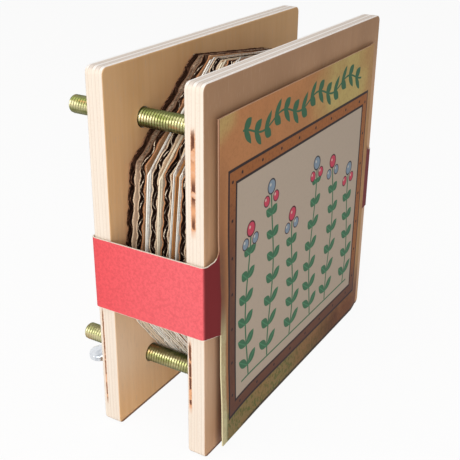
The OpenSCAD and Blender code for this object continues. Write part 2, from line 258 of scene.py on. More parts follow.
class StackLooks(bpy.types.PropertyGroup):
    flute_pitch: length("Flute pitch", "Distance from one flute to the next", 6.4)
    face_t: length("Liner", "Thickness of a card's flat faces", 0.42)
    wave_t: length("Middle", "Thickness of a card's wavy middle", 0.3)
    leaf_gap: length("Leaf gap", "Gap between the two papers of a pair", 0.04)
    room: length("Room", "How far each layer stays off its neighbours when pressed", 0.08)
    sway: length("Sway", "How far the middle of the stack waves in and out", 0.45)
    fray: length("Fray", "How rough the cards' cut edges are", 0.5)
    dent: length("Dent", "How far a card's faces give way between the flutes", 0.5)
    ripple: length("Ripple", "How far the papers' edges wave", 0.04)
    card: colour("Card", "Brown corrugated card", 186, 140, 100)
    # Painted shade: the middles are drawn nearly black, standing in for the shade deep inside the
    # flutes
    inside: colour("Card inside", "Wavy middle of the cards", 50, 29, 20)
    cut: colour("Card cut", "Torn fibres along the cut edges", 242, 222, 196)
    cut_brown: colour("Brown cut", "Cut edge of the brown faces", 188, 132, 92)
    # Partly the duller torn fibres between bright ones, and partly painted shade: the main tone of
    # the rearmost card's cut edges
    dark_fibres_and_shade: colour("Old cut", "Dull fibres along the cut edges", 140, 102, 78)
    # The paler tone drawn at the lower cut corners
    low_corner_pale: colour("Dust", "Rubbed paper in the flutes at the lower corners", 242, 230, 212)
    # Painted shade: the brown that the rear cards' faces, middles and cut edges take at the upper
    # cut corners, which lie in shade
    upper_corner_shade: colour("Dusk", "Crushed brown card at the upper corners", 106, 72, 52)
    pale: colour("Pale liner", "Pale face of a card", 226, 200, 170)
    white: colour("White", "White blotting paper", 250, 247, 238)
    cream: colour("Cream", "Thick cream blotting paper", 247, 234, 208)
    kraft: colour("Kraft", "Brown kraft paper", 178, 124, 76)


class SleeveLooks(bpy.types.PropertyGroup):
    thickness: length("Thickness", "Thickness of the sleeve's card", 0.4)
    fold_r: length("Fold", "Inner radius of the folds", 1.2)
    overlap: length("Overlap", "Width of the glued overlap at the back", 14)
    band_low: length("Band foot", "Height of the band's lower edge", 44.2)
    band_high: length("Band top", "Height of the band's upper edge", 68.2)
    lift: length("Lift", "How far the panel's lower left corner stands off", 1.8)
    tilt: FloatProperty(name="Tilt", description="How far the sleeve hangs out of level",
                        subtype="ANGLE", default=math.radians(0.45))
    red: colour("Band", "Coral red print of the band", 242, 84, 89)
    red_pale: colour("Faded band", "Paler red of the band towards the label side", 246, 110, 116)
    red_dark: colour("Band front", "Dark red beside the panel", 114, 36, 39)
    core: colour("Core", "White core at the cut edges", 240, 230, 214)
    inside: colour("Inside", "Unprinted inner side", 224, 214, 196)
    orange: colour("Orange wash", "Orange water colour", 192, 131, 85)
    olive: colour("Olive wash", "Olive water colour", 198, 176, 112)
    moss: colour("Moss wash", "Dark green wash along the panel's foot", 142, 122, 76)
    tuft: colour("Tufts", "Green flecks in the moss wash", 72, 94, 38)
    # Pale olive print along the panel's lower left edge and on the panel's cut edges low down; on
    # the boards the same name is their painted floor light
    floor_light_and_pale_olive: colour("Bleached wash", "Pale olive along the panel's lower left edge", 226, 216, 168)
    umber: colour("Umber wash", "Dark brown wash at the foot's right", 84, 32, 6)
    strip: colour("Strip", "Strip of the border", 163, 101, 56)
    # Also the painted shade on the wash's left margin
    strip_dark: colour("Dark strip", "The border's left side and foot", 93, 57, 46)
    ink: colour("Ink", "Dark outline ink", 38, 26, 28)
    field: colour("Field", "Cream field inside the border", 192, 174, 156)
    leaf: colour("Leaf", "Green of the sprigs", 66, 112, 82)
    berry: colour("Berry", "Pink berries", 206, 74, 96)
    blue: colour("Blue berry", "Grey blue berries", 136, 152, 168)


class StageLooks(bpy.types.PropertyGroup):
    lens: FloatProperty(name="Lens", description="Focal length in millimetres", default=66.29)
    camera_at: FloatVectorProperty(name="Camera", description="Place of the camera",
                                   subtype="TRANSLATION", size=3,
                                   default=(-0.2390, -0.1449, 0.1760))
    yaw: FloatProperty(name="Yaw", description="Turn of the view from +Y towards +X",
                       subtype="ANGLE", default=math.radians(59.13))
    pitch: FloatProperty(name="Pitch", description="How far the view looks down",
                         subtype="ANGLE", default=math.radians(24.41))
    roll: FloatProperty(name="Roll", description="Roll of the camera",
                        subtype="ANGLE", default=math.radians(-0.6))
    key: FloatProperty(name="Key lamp", description="Power of the lamp on the left", unit="POWER",
                       default=3.2)
    top: FloatProperty(name="Top lamp", description="Power of the lamp overhead", unit="POWER",
                       default=2.3)
    sky: FloatProperty(name="Sky", description="Strength of the soft light all round", default=0.27)
    floor: colour("Floor", "Colour of the floor", 248, 247, 245)
    floor_glow: share("Floor whiteness", "Share of the floor that shows as pure white", 0.93)


LOOKS = {"press_boards": BoardLooks, "press_bolts": BoltLooks, "press_nuts": NutLooks,
         "press_stack": StackLooks, "press_sleeve": SleeveLooks, "press_stage": StageLooks}


# Shader maths


def sign(operation, swapped=False):
    """The method behind one arithmetic sign: it adds a Math node for the two values."""
    def method(self, other=0.0):
        pair = (other, self) if swapped else (self, other)
        return self.finish.maths(operation, *pair)
    return method


class Socket:
    """A shader socket that can be used in Python expressions."""

    def __init__(self, finish, socket):
        self.finish = finish
        self.socket = socket

    __add__ = sign("ADD")
    __radd__ = sign("ADD", True)
    __sub__ = sign("SUBTRACT")
    __rsub__ = sign("SUBTRACT", True)
    __mul__ = sign("MULTIPLY")
    __rmul__ = sign("MULTIPLY", True)
    __truediv__ = sign("DIVIDE")
    __rtruediv__ = sign("DIVIDE", True)
    __pow__ = sign("POWER")
    __mod__ = sign("FLOORED_MODULO")
    __lt__ = sign("LESS_THAN")
    __gt__ = sign("GREATER_THAN")
    __abs__ = sign("ABSOLUTE")


class Shading:
    """A tree of shader nodes. Its methods add nodes, and their results work in expressions."""

    def __init__(self, owner):
        owner.use_nodes = True
        self.tree = owner.node_tree
        self.tree.nodes.clear()

    def node(self, kind, settings=None, sockets=None, out=0):
        """Adds a node: its settings first, then the values or links of its sockets."""
        made = self.tree.nodes.new(kind)
        for key, value in (settings or {}).items():
            setattr(made, key, value)
        for key, value in (sockets or {}).items():
            self.feed(made.inputs[key], value)
        return Socket(self, made.outputs[out] if made.outputs else None)

    def feed(self, target, value):
        """Links a socket to another one, or sets its value."""
        if isinstance(value, Socket):
            self.tree.links.new(value.socket, target)
        elif target.type == "RGBA":
            target.default_value = (*value, 1)
        else:
            target.default_value = value

    def seen(self):
        """1 for the rays of the camera, of mirrors and of glass, and 0 for light on matt faces."""
        kinds = ("Is Camera Ray", "Is Glossy Ray", "Is Transmission Ray")
        rays = [self.node("ShaderNodeLightPath", out=kind) for kind in kinds]
        return self.larger(rays[0], self.larger(rays[1], rays[2]))

    def place(self):
        """The point on the surface, in metres."""
        return self.node("ShaderNodeTexCoord", out="Object")

    def facing(self):
        """The direction that the surface faces."""
        return self.node("ShaderNodeTexCoord", out="Normal")

    def parts(self, vector):
        """The three numbers of a vector."""
        return [self.node("ShaderNodeSeparateXYZ", None, {0: vector}, out) for out in (0, 1, 2)]

    def point(self, x, y, z):
        """A vector from three numbers."""
        return self.node("ShaderNodeCombineXYZ", None, {0: x, 1: y, 2: z})

    def stretched(self, vector, factors):
        """A vector times a factor for each of its numbers."""
        return self.node("ShaderNodeVectorMath", {"operation": "MULTIPLY"},
                         {0: vector, 1: factors})

    def noise(self, where, scale=1.0, detail=2.0, roughness=0.5):
        """Soft noise from 0 to 1."""
        return self.node("ShaderNodeTexNoise", {"noise_dimensions": "3D"},
                         {"Vector": where, "Scale": scale, "Detail": detail,
                          "Roughness": roughness})

    def stored(self, name):
        """A number that the mesh stores for each of its points."""
        return self.node("ShaderNodeAttribute", {"attribute_name": name}, out="Fac")

    def step(self, value, low, high, start=0.0, end=1.0):
        """A smooth change from start at low to end at high; without them, from 0 to 1."""
        return self.node("ShaderNodeMapRange", {"interpolation_type": "SMOOTHSTEP"},
                         {"Value": value, "From Min": low, "From Max": high,
                          "To Min": start, "To Max": end})

    def fall(self, value, low, high):
        """A smooth fall from 1 at low to 0 at high."""
        return self.step(value, low, high, 1.0, 0.0)

    def maths(self, operation, *values):
        """A Math node for one value or two."""
        return self.node("ShaderNodeMath", {"operation": operation}, dict(enumerate(values)))

    def larger(self, a, b):
        return self.maths("MAXIMUM", a, b)

    def sine(self, value):
        return self.maths("SINE", value)

    def floor(self, value):
        return self.maths("FLOOR", value)

    def length(self, x, y):
        return (x * x + y * y) ** 0.5

    def mix(self, factor, a, b):
        """Colour a where factor is 0 and colour b where it is 1."""
        return self.node("ShaderNodeMix", {"data_type": "RGBA", "clamp_factor": True},
                         {0: factor, 6: a, 7: b}, 2)


class Finish(Shading):
    """A procedural material on one Principled surface."""

    def __init__(self, name):
        self.material = bpy.data.materials.new(name)
        super().__init__(self.material)
        self.surface = self.tree.nodes.new("ShaderNodeBsdfPrincipled")
        self.output = self.tree.nodes.new("ShaderNodeOutputMaterial")
        self.shown(Socket(self, self.surface.outputs[0]))

    def shown(self, shader):
        """Shows this shader on the surface."""
        self.feed(self.output.inputs["Surface"], shader)

    def set(self, **sockets):
        """Sets the surface's own sockets; an underscore in a name stands for a space."""
        for key, value in sockets.items():
            self.feed(self.surface.inputs[key.replace("_", " ")], value)

    def bump(self, height, distance, strength=1.0):
        self.set(Normal=self.node("ShaderNodeBump", None,
                                  {"Height": height, "Distance": distance,
                                   "Strength": strength}))


# Meshes


def make_mesh(name, points, faces, sharp_angle=40, groups=None):
    """A mesh of those points and faces, smooth but for edges sharper than the angle."""
    mesh = bpy.data.meshes.new(name)
    mesh.from_pydata(np.asarray(points).tolist(), [], [list(map(int, face)) for face in faces])
    mesh.polygons.foreach_set("use_smooth", [True] * len(mesh.polygons))
    if groups is not None:
        mesh.polygons.foreach_set("material_index", groups)
    mesh.set_sharp_from_angle(angle=math.radians(sharp_angle))
    mesh.update()
    return mesh


def in_scene(name, data):
    """A new object in the scene."""
    made = bpy.data.objects.new(name, data)
    bpy.context.scene.collection.objects.link(made)
    return made


def add_piece(name, mesh, body, slot, nodes, finishes=()):
    """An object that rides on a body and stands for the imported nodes; finishes that are given
    take the mesh's own material slots first."""
    piece = in_scene(name, mesh)
    for number, finish in enumerate(finishes):
        if number < len(mesh.materials):
            mesh.materials[number] = finish
        else:
            mesh.materials.append(finish)
    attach(piece, body)
    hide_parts(*nodes)


def finish_node(node, material):
    """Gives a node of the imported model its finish."""
    frame["nodes"][node].material_slots[0].material = material


def applied(raw):
    """The mesh that an object's modifiers make, in place of the object itself."""
    graph = bpy.context.evaluated_depsgraph_get()
    mesh = bpy.data.meshes.new_from_object(raw.evaluated_get(graph))
    bpy.data.objects.remove(raw)
    return mesh


def arc(middle, radius, start, end, steps):
    """Points along an arc in a plane, angles in degrees."""
    angles = np.radians(np.linspace(start, end, steps + 1))
    return [(middle[0] + radius * math.cos(a), middle[1] + radius * math.sin(a)) for a in angles]


def join(parts):
    """One list of points and one of faces from several pairs of them."""
    points, faces, count = [], [], 0
    for some_points, some_faces in parts:
        points.append(np.asarray(some_points, float))
        faces += [[count + i for i in face] for face in some_faces]
        count += len(some_points)
    return np.concatenate(points), faces


def turned(profile, axis, around):
    """A solid turned about an axis along +Y; the profile is a list of (radius, y)."""
    angles = np.arange(around) * 2 * math.pi / around
    points = [(axis[0] + r * math.cos(a), y, axis[1] + r * math.sin(a))
              for r, y in profile for a in angles]
    faces = []
    for k in range(len(profile) - 1):
        for i in range(around):
            j = (i + 1) % around
            faces.append([k * around + i, k * around + j,
                          (k + 1) * around + j, (k + 1) * around + i])
    faces.append([around - 1 - i for i in range(around)])
    faces.append([(len(profile) - 1) * around + i for i in range(around)])
    return points, faces


def grid_faces(rows, cols):
    """The four-sided faces of a grid of points that are listed row by row."""
    index = np.arange(rows * cols).reshape(rows, cols)
    quads = np.stack([index[:-1, :-1], index[:-1, 1:], index[1:, 1:], index[1:, :-1]], -1)
    return quads.reshape(-1, 4)


def plate(front, back):
    """A closed sheet between two grids of points, with the finish number of each face: 0 on the
    front, 1 on the back and 2 on the rim."""
    rows, cols = front.shape[:2]
    quads = grid_faces(rows, cols)
    index = np.arange(rows * cols).reshape(rows, cols)
    offset = rows * cols
    ring = np.concatenate([index[0, :-1], index[:-1, -1], index[-1, :0:-1], index[:0:-1, 0]])
    after = np.roll(ring, -1)
    rim = np.stack([ring, ring + offset, after + offset, after], -1)
    sides = np.repeat([0, 1, 2], [len(quads), len(quads), len(rim)])
    faces = np.concatenate([quads, quads[:, ::-1] + offset, rim])
    return np.concatenate([front.reshape(-1, 3), back.reshape(-1, 3)]), faces.tolist(), sides


def welded(points, faces, closed):
    """Joins doubled points and drops faces without area. A closed solid then gets its open ends
    filled, and an open sheet loses the points that no face uses."""
    mesh = bmesh.new()
    rows = [mesh.verts.new(p) for p in points]
    for face in faces:
        mesh.faces.new([rows[i] for i in face])
    bmesh.ops.remove_doubles(mesh, verts=mesh.verts, dist=TOUCH)
    bmesh.ops.dissolve_degenerate(mesh, edges=mesh.edges, dist=TOUCH)
    if closed:
        ends = [e for e in mesh.edges if e.is_boundary]
        bmesh.ops.holes_fill(mesh, edges=ends, sides=0)
        bmesh.ops.recalc_face_normals(mesh, faces=mesh.faces)
    else:
        loose = [v for v in mesh.verts if not v.link_faces]
        bmesh.ops.delete(mesh, geom=loose, context="VERTS")
    mesh.verts.index_update()
    found = ([tuple(v.co) for v in mesh.verts], [[v.index for v in f.verts] for f in mesh.faces])
    mesh.free()
    return found


# Outlines and edges of the sheets


class Outline:
    """The eight-cornered outline of one sheet, in a frame turned with the sheet."""

    def __init__(self, node, y_low, y_high):
        points = [v.co for v in frame["nodes"][node].data.vertices
                  if y_low - PLANE_SLACK < v.co.y < y_high + PLANE_SLACK]
        flat = [Vector((p.x, p.z)) for p in points]
        hull = [flat[i] for i in geometry.convex_hull_2d(flat)]
        sides = [(a, b) for a, b in zip(hull, hull[1:] + hull[:1]) if (b - a).length > LONG_SIDE]
        a, b = min(sides, key=lambda side: side[0].y + side[1].y)
        a, b = sorted((a, b), key=lambda p: p.x)
        self.angle = math.atan2(b.y - a.y, b.x - a.x)
        self.middle = Vector((sum(p.x for p in flat), sum(p.y for p in flat))) / len(flat)
        turn = Matrix.Rotation(-self.angle, 2)
        local = [turn @ (p - self.middle) for p in hull]
        self.low = min(p.y for p in local)
        self.high = max(p.y for p in local)
        self.left = self.chain(local, -1)
        self.right = self.chain(local, 1)

    def chain(self, local, side):
        """The corners on one side, from the lowest to the highest, as heights and places."""
        corners = sorted((p for p in local if p.x * side > 0), key=lambda p: p.y)
        return np.array([p.y for p in corners]), np.array([p.x for p in corners])

    def heights(self, step):
        """Heights of the rows: a thin one along each cut, and every corner on a row."""
        marks = {round(v, 7) for v in (*self.left[0], *self.right[0])}
        count = round((self.high - self.low) / step)
        even = np.linspace(self.low, self.high, count + 1)
        kept = [v for v in even if min(abs(v - m) for m in marks) > step * 0.4]
        rim = [self.low + CUT_ROW, self.high - CUT_ROW]
        return np.array(sorted({*marks, *kept, *rim}))

    def grid(self, heights, shares):
        """Places along the rows: each row runs from the left chain to the right one."""
        left = np.interp(heights, *self.left)
        right = np.interp(heights, *self.right)
        along = left[:, None] + (right - left)[:, None] * shares[None, :]
        return along, np.repeat(heights[:, None], len(shares), 1)

    def world(self, along, up, y):
        """Points of the row frame from places in the sheet's own frame."""
        c, s = math.cos(self.angle), math.sin(self.angle)
        x = self.middle.x + c * along - s * up
        z = self.middle.y + s * along + c * up
        return np.stack([x, np.broadcast_to(y, x.shape), z], -1)


def stack_sway(x, y, z, size):
    """How far the stack is pushed in or out at a point: nothing at the boards, most between."""
    depth = (y - STACK_START) / (STACK_END - STACK_START)
    tent = 1 - np.abs(2 * depth - 1)
    wave = (0.55 * np.sin(x * 61 + z * 38 + 0.7) + 0.3 * np.sin(z * 127 - x * 45 + 2.1)
            + 0.25 * np.sin(x * 150 + z * 96 + 4.4))
    return size * tent * wave


def swayed(points, size):
    """Moves points along Y with the stack's sway."""
    moved = points.copy()
    moved[..., 1] += stack_sway(points[..., 0], points[..., 1], points[..., 2], size)
    return moved


def rough(count, seed, size, soft=2):
    """A row of small random steps inwards, softened along the row."""
    steps = np.random.default_rng(seed).random(count + 2 * soft)
    window = np.ones(2 * soft + 1) / (2 * soft + 1)
    fine = np.random.default_rng(seed + 1).random(count)
    return size * (0.7 * np.convolve(steps, window, "valid") + 0.3 * fine)


def frayed(along, up, seed, size):
    """Pulls the outer ring of a grid inwards by uneven amounts."""
    along, up = along.copy(), up.copy()
    rows, cols = along.shape
    along[:, 0] += rough(rows, seed, size)
    along[:, -1] -= rough(rows, seed + 2, size)
    up[0] += rough(cols, seed + 4, size)
    up[-1] -= rough(cols, seed + 6, size)
    return along, up


def column_shares(count):
    """Places across a row, with a narrow column along each end."""
    return np.array([0, 0.006, *np.linspace(0.03, 0.97, count), 0.994, 1])


# Boards


def board_face(f, looks, face, face_dark, painted_top_shade, floor_light_and_pale_olive):
    """The faces' long streaks along Z, and their colour with soft clouds and short pores, painted
    shade towards the top and painted light from the floor lower down.
    """
    where = f.place()
    z = f.parts(where)[2]
    streaks = f.noise(f.stretched(where, (560, 60, 16)), 1, 4, 0.6)
    clouds = f.noise(f.stretched(where, (40, 10, 14)), 1, 3, 0.5)
    pores = f.step(f.noise(f.stretched(where, (2600, 200, 260)), 1, 1, 0.4), 0.6, 0.72)
    figure = f.step(streaks * 0.45 + clouds * 0.55, 0.36, 0.66)
    wood = f.mix(figure * 0.8, face, face_dark)
    # Painted shade: the faces drawn darker from about 9 cm up, towards the top
    upper = f.step(z + clouds * 0.05, 0.085, 0.15)
    wood = f.mix(upper * painted_top_shade, wood, shade(face_dark, 0.72))
    # Painted light: the faces paler up to about 10 cm, most near 3 cm, standing in for light thrown
    # up by the floor
    pale = f.fall(z + clouds * 0.04, 0.03, 0.1) * f.step(z, 0.0, 0.034)
    wood = f.mix(pale * floor_light_and_pale_olive, wood, looks.edge)
    return streaks, f.mix(pores * 0.2, wood, looks.glue)


def painted_gap_shadow(f, label_side):
    """1 on the label side along a line just inside the panel's edges: painted shadow, where the gap
    behind the panel lies in shade.
    """
    x, y, z = f.parts(f.place())
    behind = f.larger(abs(x) - PANEL_HALF, (z - SLEEVE[1].z) * 2)
    line = f.fall(behind, -4 * MM, 0.0) * f.step(behind, -9 * MM, -6.5 * MM)
    return line * f.fall(y, label_side + 0.5 * MM, label_side + 1 * MM)


def board_edge(f, looks, ply, on_top):
    """The edges' fine lines along the plies, their glue lines, and their colour."""
    where = f.place()
    x, y, z = f.parts(where)
    crossed = f.floor(ply) % 2
    glue = f.step(abs(ply % 1 - 0.5), 0.36, 0.5) * (0.3 + on_top * 0.6)
    lines = f.noise(f.point((x + z) * 30, y * 3000, x * 20), 1, 3, 0.65)
    ends = f.noise(where, 1900, 3, 0.7)
    edge = f.mix(f.step(lines, 0.42, 0.68) * 0.5, looks.edge, looks.edge_dark)
    end_grain = f.mix(f.step(ends, 0.42, 0.66) * 0.7, looks.edge, looks.edge_dark)
    edge = f.mix(crossed * 0.6, edge, end_grain)
    # Painted light: edges that face up drawn paler, standing in for light from above
    edge = f.mix(on_top * 0.6, edge, looks.top_edge_painted_light)
    edge = f.mix(crossed * on_top * 0.45, edge, looks.glue)
    return lines, glue, f.mix(glue, edge, looks.glue)


def core_gaps(f, ply, gap_runs):
    """Gaps in the core, as torn dashes on the near edge and a few on the others, and the
    scorched wood beside them."""
    where = f.place()
    x, y, z = f.parts(where)
    run = x + z
    near = f.step(x * -1, 0.03, 0.05)
    few = f.step(f.noise(f.point(run * 14, 0.0, 1.0)), 0.56, 0.6) * (1 - near)
    gaps = few * f.fall(abs(ply - 2.6), 0.1, 0.3)
    scorch = gaps
    torn = f.noise(f.point(run * 260, y * 160, x * 4), 1, 2, 0.45)
    ragged = f.noise(where, 1500, 2, 0.6) * 0.3 - 0.15
    for start, end, at, wide, closed in gap_runs:
        inside = f.step(z, start - 2 * MM, start + 2 * MM) * f.fall(z, end - 2 * MM, end + 2 * MM)
        inside = inside * near
        dash = f.step(torn, 0.28 + closed * 0.5, 0.31 + closed * 0.5)
        off = abs(ply - at) + ragged
        gaps = f.larger(gaps, inside * dash * f.fall(off, wide - 0.1, wide + 0.1))
        scorch = f.larger(scorch, inside * f.fall(off, wide, wide + 0.25))
    return gaps, scorch * f.step(torn, 0.2, 0.45)


def plywood(name, box, looks, face, face_dark, gap_runs, painted_top_shade, floor_light_and_pale_olive, gap_shadow_share=0.0):
    """Sanded plywood: grain on the faces, and plies, glue lines and gaps on the edges;
    painted_top_shade is how much painted shade darkens its faces towards the top,
    floor_light_and_pale_olive how much painted light from the floor makes them paler lower down,
    and gap_shadow_share how much painted shadow darkens the label side just inside the panel's
    edges, where the gap behind the panel lies in shade."""
    low, high = box
    f = Finish(name)
    x, y, z = f.parts(f.place())
    on_face = f.step(abs(f.parts(f.facing())[1]), 0.55, 0.85)
    on_top = f.step(f.parts(f.facing())[2], 0.5, 0.8)
    streaks, wood = board_face(f, looks, face, face_dark, painted_top_shade, floor_light_and_pale_olive)
    if gap_shadow_share:
        # Painted shadow in the core gaps' colour just inside the panel's edges
        wood = f.mix(painted_gap_shadow(f, low.y) * gap_shadow_share, wood, looks.gap)
    # The plies lie across Y and wander a little along the edge
    wander = f.noise(f.point((x + z) * 30, y * 60, 0.0), 1, 2, 0.5) - 0.5
    ply = (y - low.y) / (high.y - low.y) * looks.plies + wander * 0.3
    lines, glue, edge = board_edge(f, looks, ply, on_top)
    gaps, scorch = core_gaps(f, ply, gap_runs)
    edge = f.mix(scorch * 0.8, edge, looks.gap_warm)
    edge = f.mix(gaps * 0.9, edge, looks.gap)
    # Painted contact shadow: the lowest 1.4 mm darkened in the core gaps' colour, where the board
    # stands on the floor
    painted_foot_shadow = f.fall(z, 0.8 * MM, 1.4 * MM) * (0.4 + on_face * 0.45)
    f.set(Base_Color=f.mix(painted_foot_shadow, f.mix(on_face, edge, wood), looks.gap),
          Roughness=0.66 - streaks * 0.1,
          Specular_IOR_Level=0.18)
    relief = streaks * on_face * 0.5 + (lines * 0.6 - gaps * 2.5 - glue * 0.6) * (1 - on_face)
    f.bump(relief, 0.1 * MM, 0.6)
    return f.material


class PRESS_OT_boards(bpy.types.Operator):
    """Gives the two boards their plywood finish"""

    bl_idname = "press.boards"
    bl_label = "Finish the boards"

    def execute(self, context):
        looks = context.scene.press_boards
        finish_node("front_board", plywood(
            "plywood_front", FRONT_BOARD, looks, looks.label_face, looks.label_face_dark,
            FRONT_GAP_RUNS, painted_top_shade=0.95, floor_light_and_pale_olive=0.22, gap_shadow_share=0.75))
        finish_node("rear_board", plywood(
            "plywood_rear", REAR_BOARD, looks, looks.face, looks.face_dark,
            REAR_GAP_RUNS, painted_top_shade=0.6, floor_light_and_pale_olive=0.55))
        return {"FINISHED"}


# Coach bolts, washers and wing nuts


def bolt_axis(i):
    """Where the axis of a bolt crosses the plane of the boards."""
    low, high = WASHER_BOXES[i]
    middle = (low + high) / 2
    return middle.x, middle.z


def thread(axis, radius, start, end, looks):
    """A threaded shank: rows of points that climb along the helix, cut flat at both ends."""
    around, pitch = looks.around, looks.pitch
    # One turn of the thread: shares of the pitch, and 0 on its crest and -1 at its root
    offsets = np.array([-0.12, 0.12, 0.4, 0.6])
    heights = np.array([0, 0, -1, -1])
    turns = math.ceil((end - start) / pitch) + 3
    rows = np.arange(turns * len(offsets))
    columns = np.arange(around)
    turn = rows // len(offsets) - 1 + offsets[rows % len(offsets)]
    y = start + pitch * (turn[:, None] + columns[None, :] / around)
    r = radius + looks.depth * np.broadcast_to(heights[rows % len(offsets)][:, None], y.shape)
    y = np.clip(y, start, end)
    from_end = np.clip(np.minimum(end - y, y - start) / looks.tip_r, 0, 1)
    r = np.minimum(r, radius - looks.tip_r * (1 - np.sqrt(1 - (1 - from_end) ** 2)))
    angle = 2 * math.pi * columns[None, :] / around
    points = np.stack([axis[0] + r * np.cos(angle), y, axis[1] + r * np.sin(angle)], -1)
    faces = []
    for k in range(len(rows) - 1):
        for i in range(around):
            step = 0 if i < around - 1 else len(offsets)
            j = (i + 1) % around
            if k + 1 + step < len(rows):
                faces.append([k * around + i, (k + step) * around + j,
                              (k + 1 + step) * around + j, (k + 1) * around + i])
    return points.reshape(-1, 3), faces


def head(low, looks, head_r, height):
    """Half section of the domed head, from the middle of the dome to the underside."""
    cap = height - looks.head_rim
    cap_r = (head_r ** 2 + cap ** 2) / (2 * cap)
    spread = math.degrees(math.asin(head_r / cap_r))
    dome = [(cap_r * math.sin(math.radians(a)), low + cap_r * (1 - math.cos(math.radians(a))))
            for a in np.linspace(1, spread * 0.97, 14)]
    rim_r = 0.25 * MM
    edge = [(head_r - rim_r + rim_r * math.sin(math.radians(a)),
             low + cap + rim_r - rim_r * math.cos(math.radians(a))) for a in (40, 65, 90)]
    under = [(head_r, low + height - rim_r / 2), (head_r - rim_r / 2, low + height)]
    return dome + edge + under


def square_neck(axis, start, end, half):
    """The neck: a square bar with bevelled corners."""
    bevel = half * 0.16
    corner = [(half, half - bevel), (half - bevel, half)]
    ring = []
    for k in range(4):
        c, s = round(math.cos(k * math.pi / 2)), round(math.sin(k * math.pi / 2))
        ring += [(c * a - s * b, s * a + c * b) for a, b in corner]
    points = [(axis[0] + a, y, axis[1] + b) for y in (start, end) for a, b in ring]
    count = len(ring)
    faces = [[i, (i + 1) % count, count + (i + 1) % count, count + i] for i in range(count)]
    faces += [list(range(count - 1, -1, -1)), list(range(count, 2 * count))]
    return points, faces


def yellow_zinc(looks):
    """Yellow zinc plating: pale gold with olive and orange blushes that run along the bolt, and
    painted shade and dark reflections on faces that look up or down.
    """
    f = Finish("yellow_zinc")
    where = f.place()
    x, y, z = f.parts(where)
    blush = f.noise(f.stretched(where, (340, 60, 340)), 1, 3, 0.6)
    warm = f.noise(f.stretched(where, (420, 90, 420)), 1, 2, 0.5)
    scratch = f.noise(f.point(x * 300, y * 9000, z * 300), 1, 2, 0.6)
    base = f.mix(f.step(blush, 0.36, 0.62), looks.gold, looks.olive)
    # Painted shade and dark reflections: dark olive on faces that look down, and on those that look
    # up
    up = f.parts(f.facing())[2]
    dark = f.larger(f.fall(up, -0.8, 0.1) * 0.75, f.step(up, 0.5, 0.95) * 0.6)
    base = f.mix(dark, base, shade(looks.olive, 0.35))
    base = f.mix(f.step(warm, 0.6, 0.74) * 0.6, base, looks.orange)
    f.set(Base_Color=base, Metallic=1.0, Roughness=0.28 + scratch * 0.12 + blush * 0.12)
    f.bump(scratch, 0.01 * MM, 0.4)
    return f.material


def white_zinc(looks):
    """Bright zinc plating with duller patches and small pits."""
    f = Finish("white_zinc")
    where = f.place()
    clouds = f.noise(where, 260, 3, 0.6)
    pits = f.noise(where, 2600, 2, 0.6)
    base = f.mix(f.step(clouds, 0.42, 0.66), looks.zinc, looks.zinc_dark)
    f.set(Base_Color=base, Metallic=1.0, Roughness=0.2 + clouds * 0.14)
    f.bump(pits, 0.02 * MM, 0.6)
    return f.material


class PRESS_OT_bolts(bpy.types.Operator):
    """Makes the four coach bolts with their threads, domed heads and square necks"""

    bl_idname = "press.bolts"
    bl_label = "Make the bolts"

    def execute(self, context):
        looks = context.scene.press_bolts
        finish = yellow_zinc(looks)
        for i in CORNERS:
            low, high = BOLT_BOXES[i]
            axis = bolt_axis(i)
            seat = low.y + HEAD_HEIGHT
            shank = welded(*thread(axis, BOLT_R, seat + looks.neck, high.y, looks), closed=True)
            dome = head(low.y, looks, (high.x - low.x) / 2, HEAD_HEIGHT)
            neck = square_neck(axis, seat - NECK_ROOT, seat + looks.neck, BOLT_R)
            points, faces = join([shank, turned(dome, axis, HEAD_FACETS), neck])
            mesh = make_mesh(f"coach_bolt_{i}", points, faces, sharp_angle=62)
            add_piece(f"coach_bolt_{i}", mesh, "front_frame", "yellow_zinc", [f"bolt_{i}"],
                      [finish])
        return {"FINISHED"}


class PRESS_OT_washers(bpy.types.Operator):
    """Gives the washers their zinc finish"""

    bl_idname = "press.washers"
    bl_label = "Finish the washers"

    def execute(self, context):
        finish = white_zinc(context.scene.press_nuts)
        for i in CORNERS:
            finish_node(f"washer_{i}", finish)
        return {"FINISHED"}


class PRESS_OT_wing_nuts(bpy.types.Operator):
    """Rounds the wing nuts as castings, with fillets between hub and wings"""

    bl_idname = "press.wing_nuts"
    bl_label = "Make the wing nuts"

    def execute(self, context):
        looks = context.scene.press_nuts
        finish = frame["nodes"]["washer_1"].material_slots[0].material
        for i in CORNERS:
            source = frame["nodes"][f"wing_nut_{i}"].data.copy()
            raw = in_scene("raw_nut", source)
            remesh = raw.modifiers.new("cells", "REMESH")
            remesh.mode = "VOXEL"
            remesh.voxel_size = looks.grain
            smooth = raw.modifiers.new("fillets", "SMOOTH")
            smooth.factor = 0.5
            smooth.iterations = looks.rounds
            mesh = applied(raw)
            mesh.polygons.foreach_set("use_smooth", [True] * len(mesh.polygons))
            add_piece(f"cast_wing_nut_{i}", mesh, f"wing_nut_{i}", "white_zinc",
                      [f"wing_nut_{i}"], [finish])
        return {"FINISHED"}


# Corrugated cards and papers


def low_cuts(f, where):
    """1 along the lower cut corners, where the cards' edges are drawn paler."""
    return f.fall(f.parts(where)[2], 36 * MM, 46 * MM) * 0.95


def high_cuts(f, where):
    """1 along the upper cut corners, where painted shade goes."""
    return f.step(f.parts(where)[2], 86 * MM, 92 * MM)


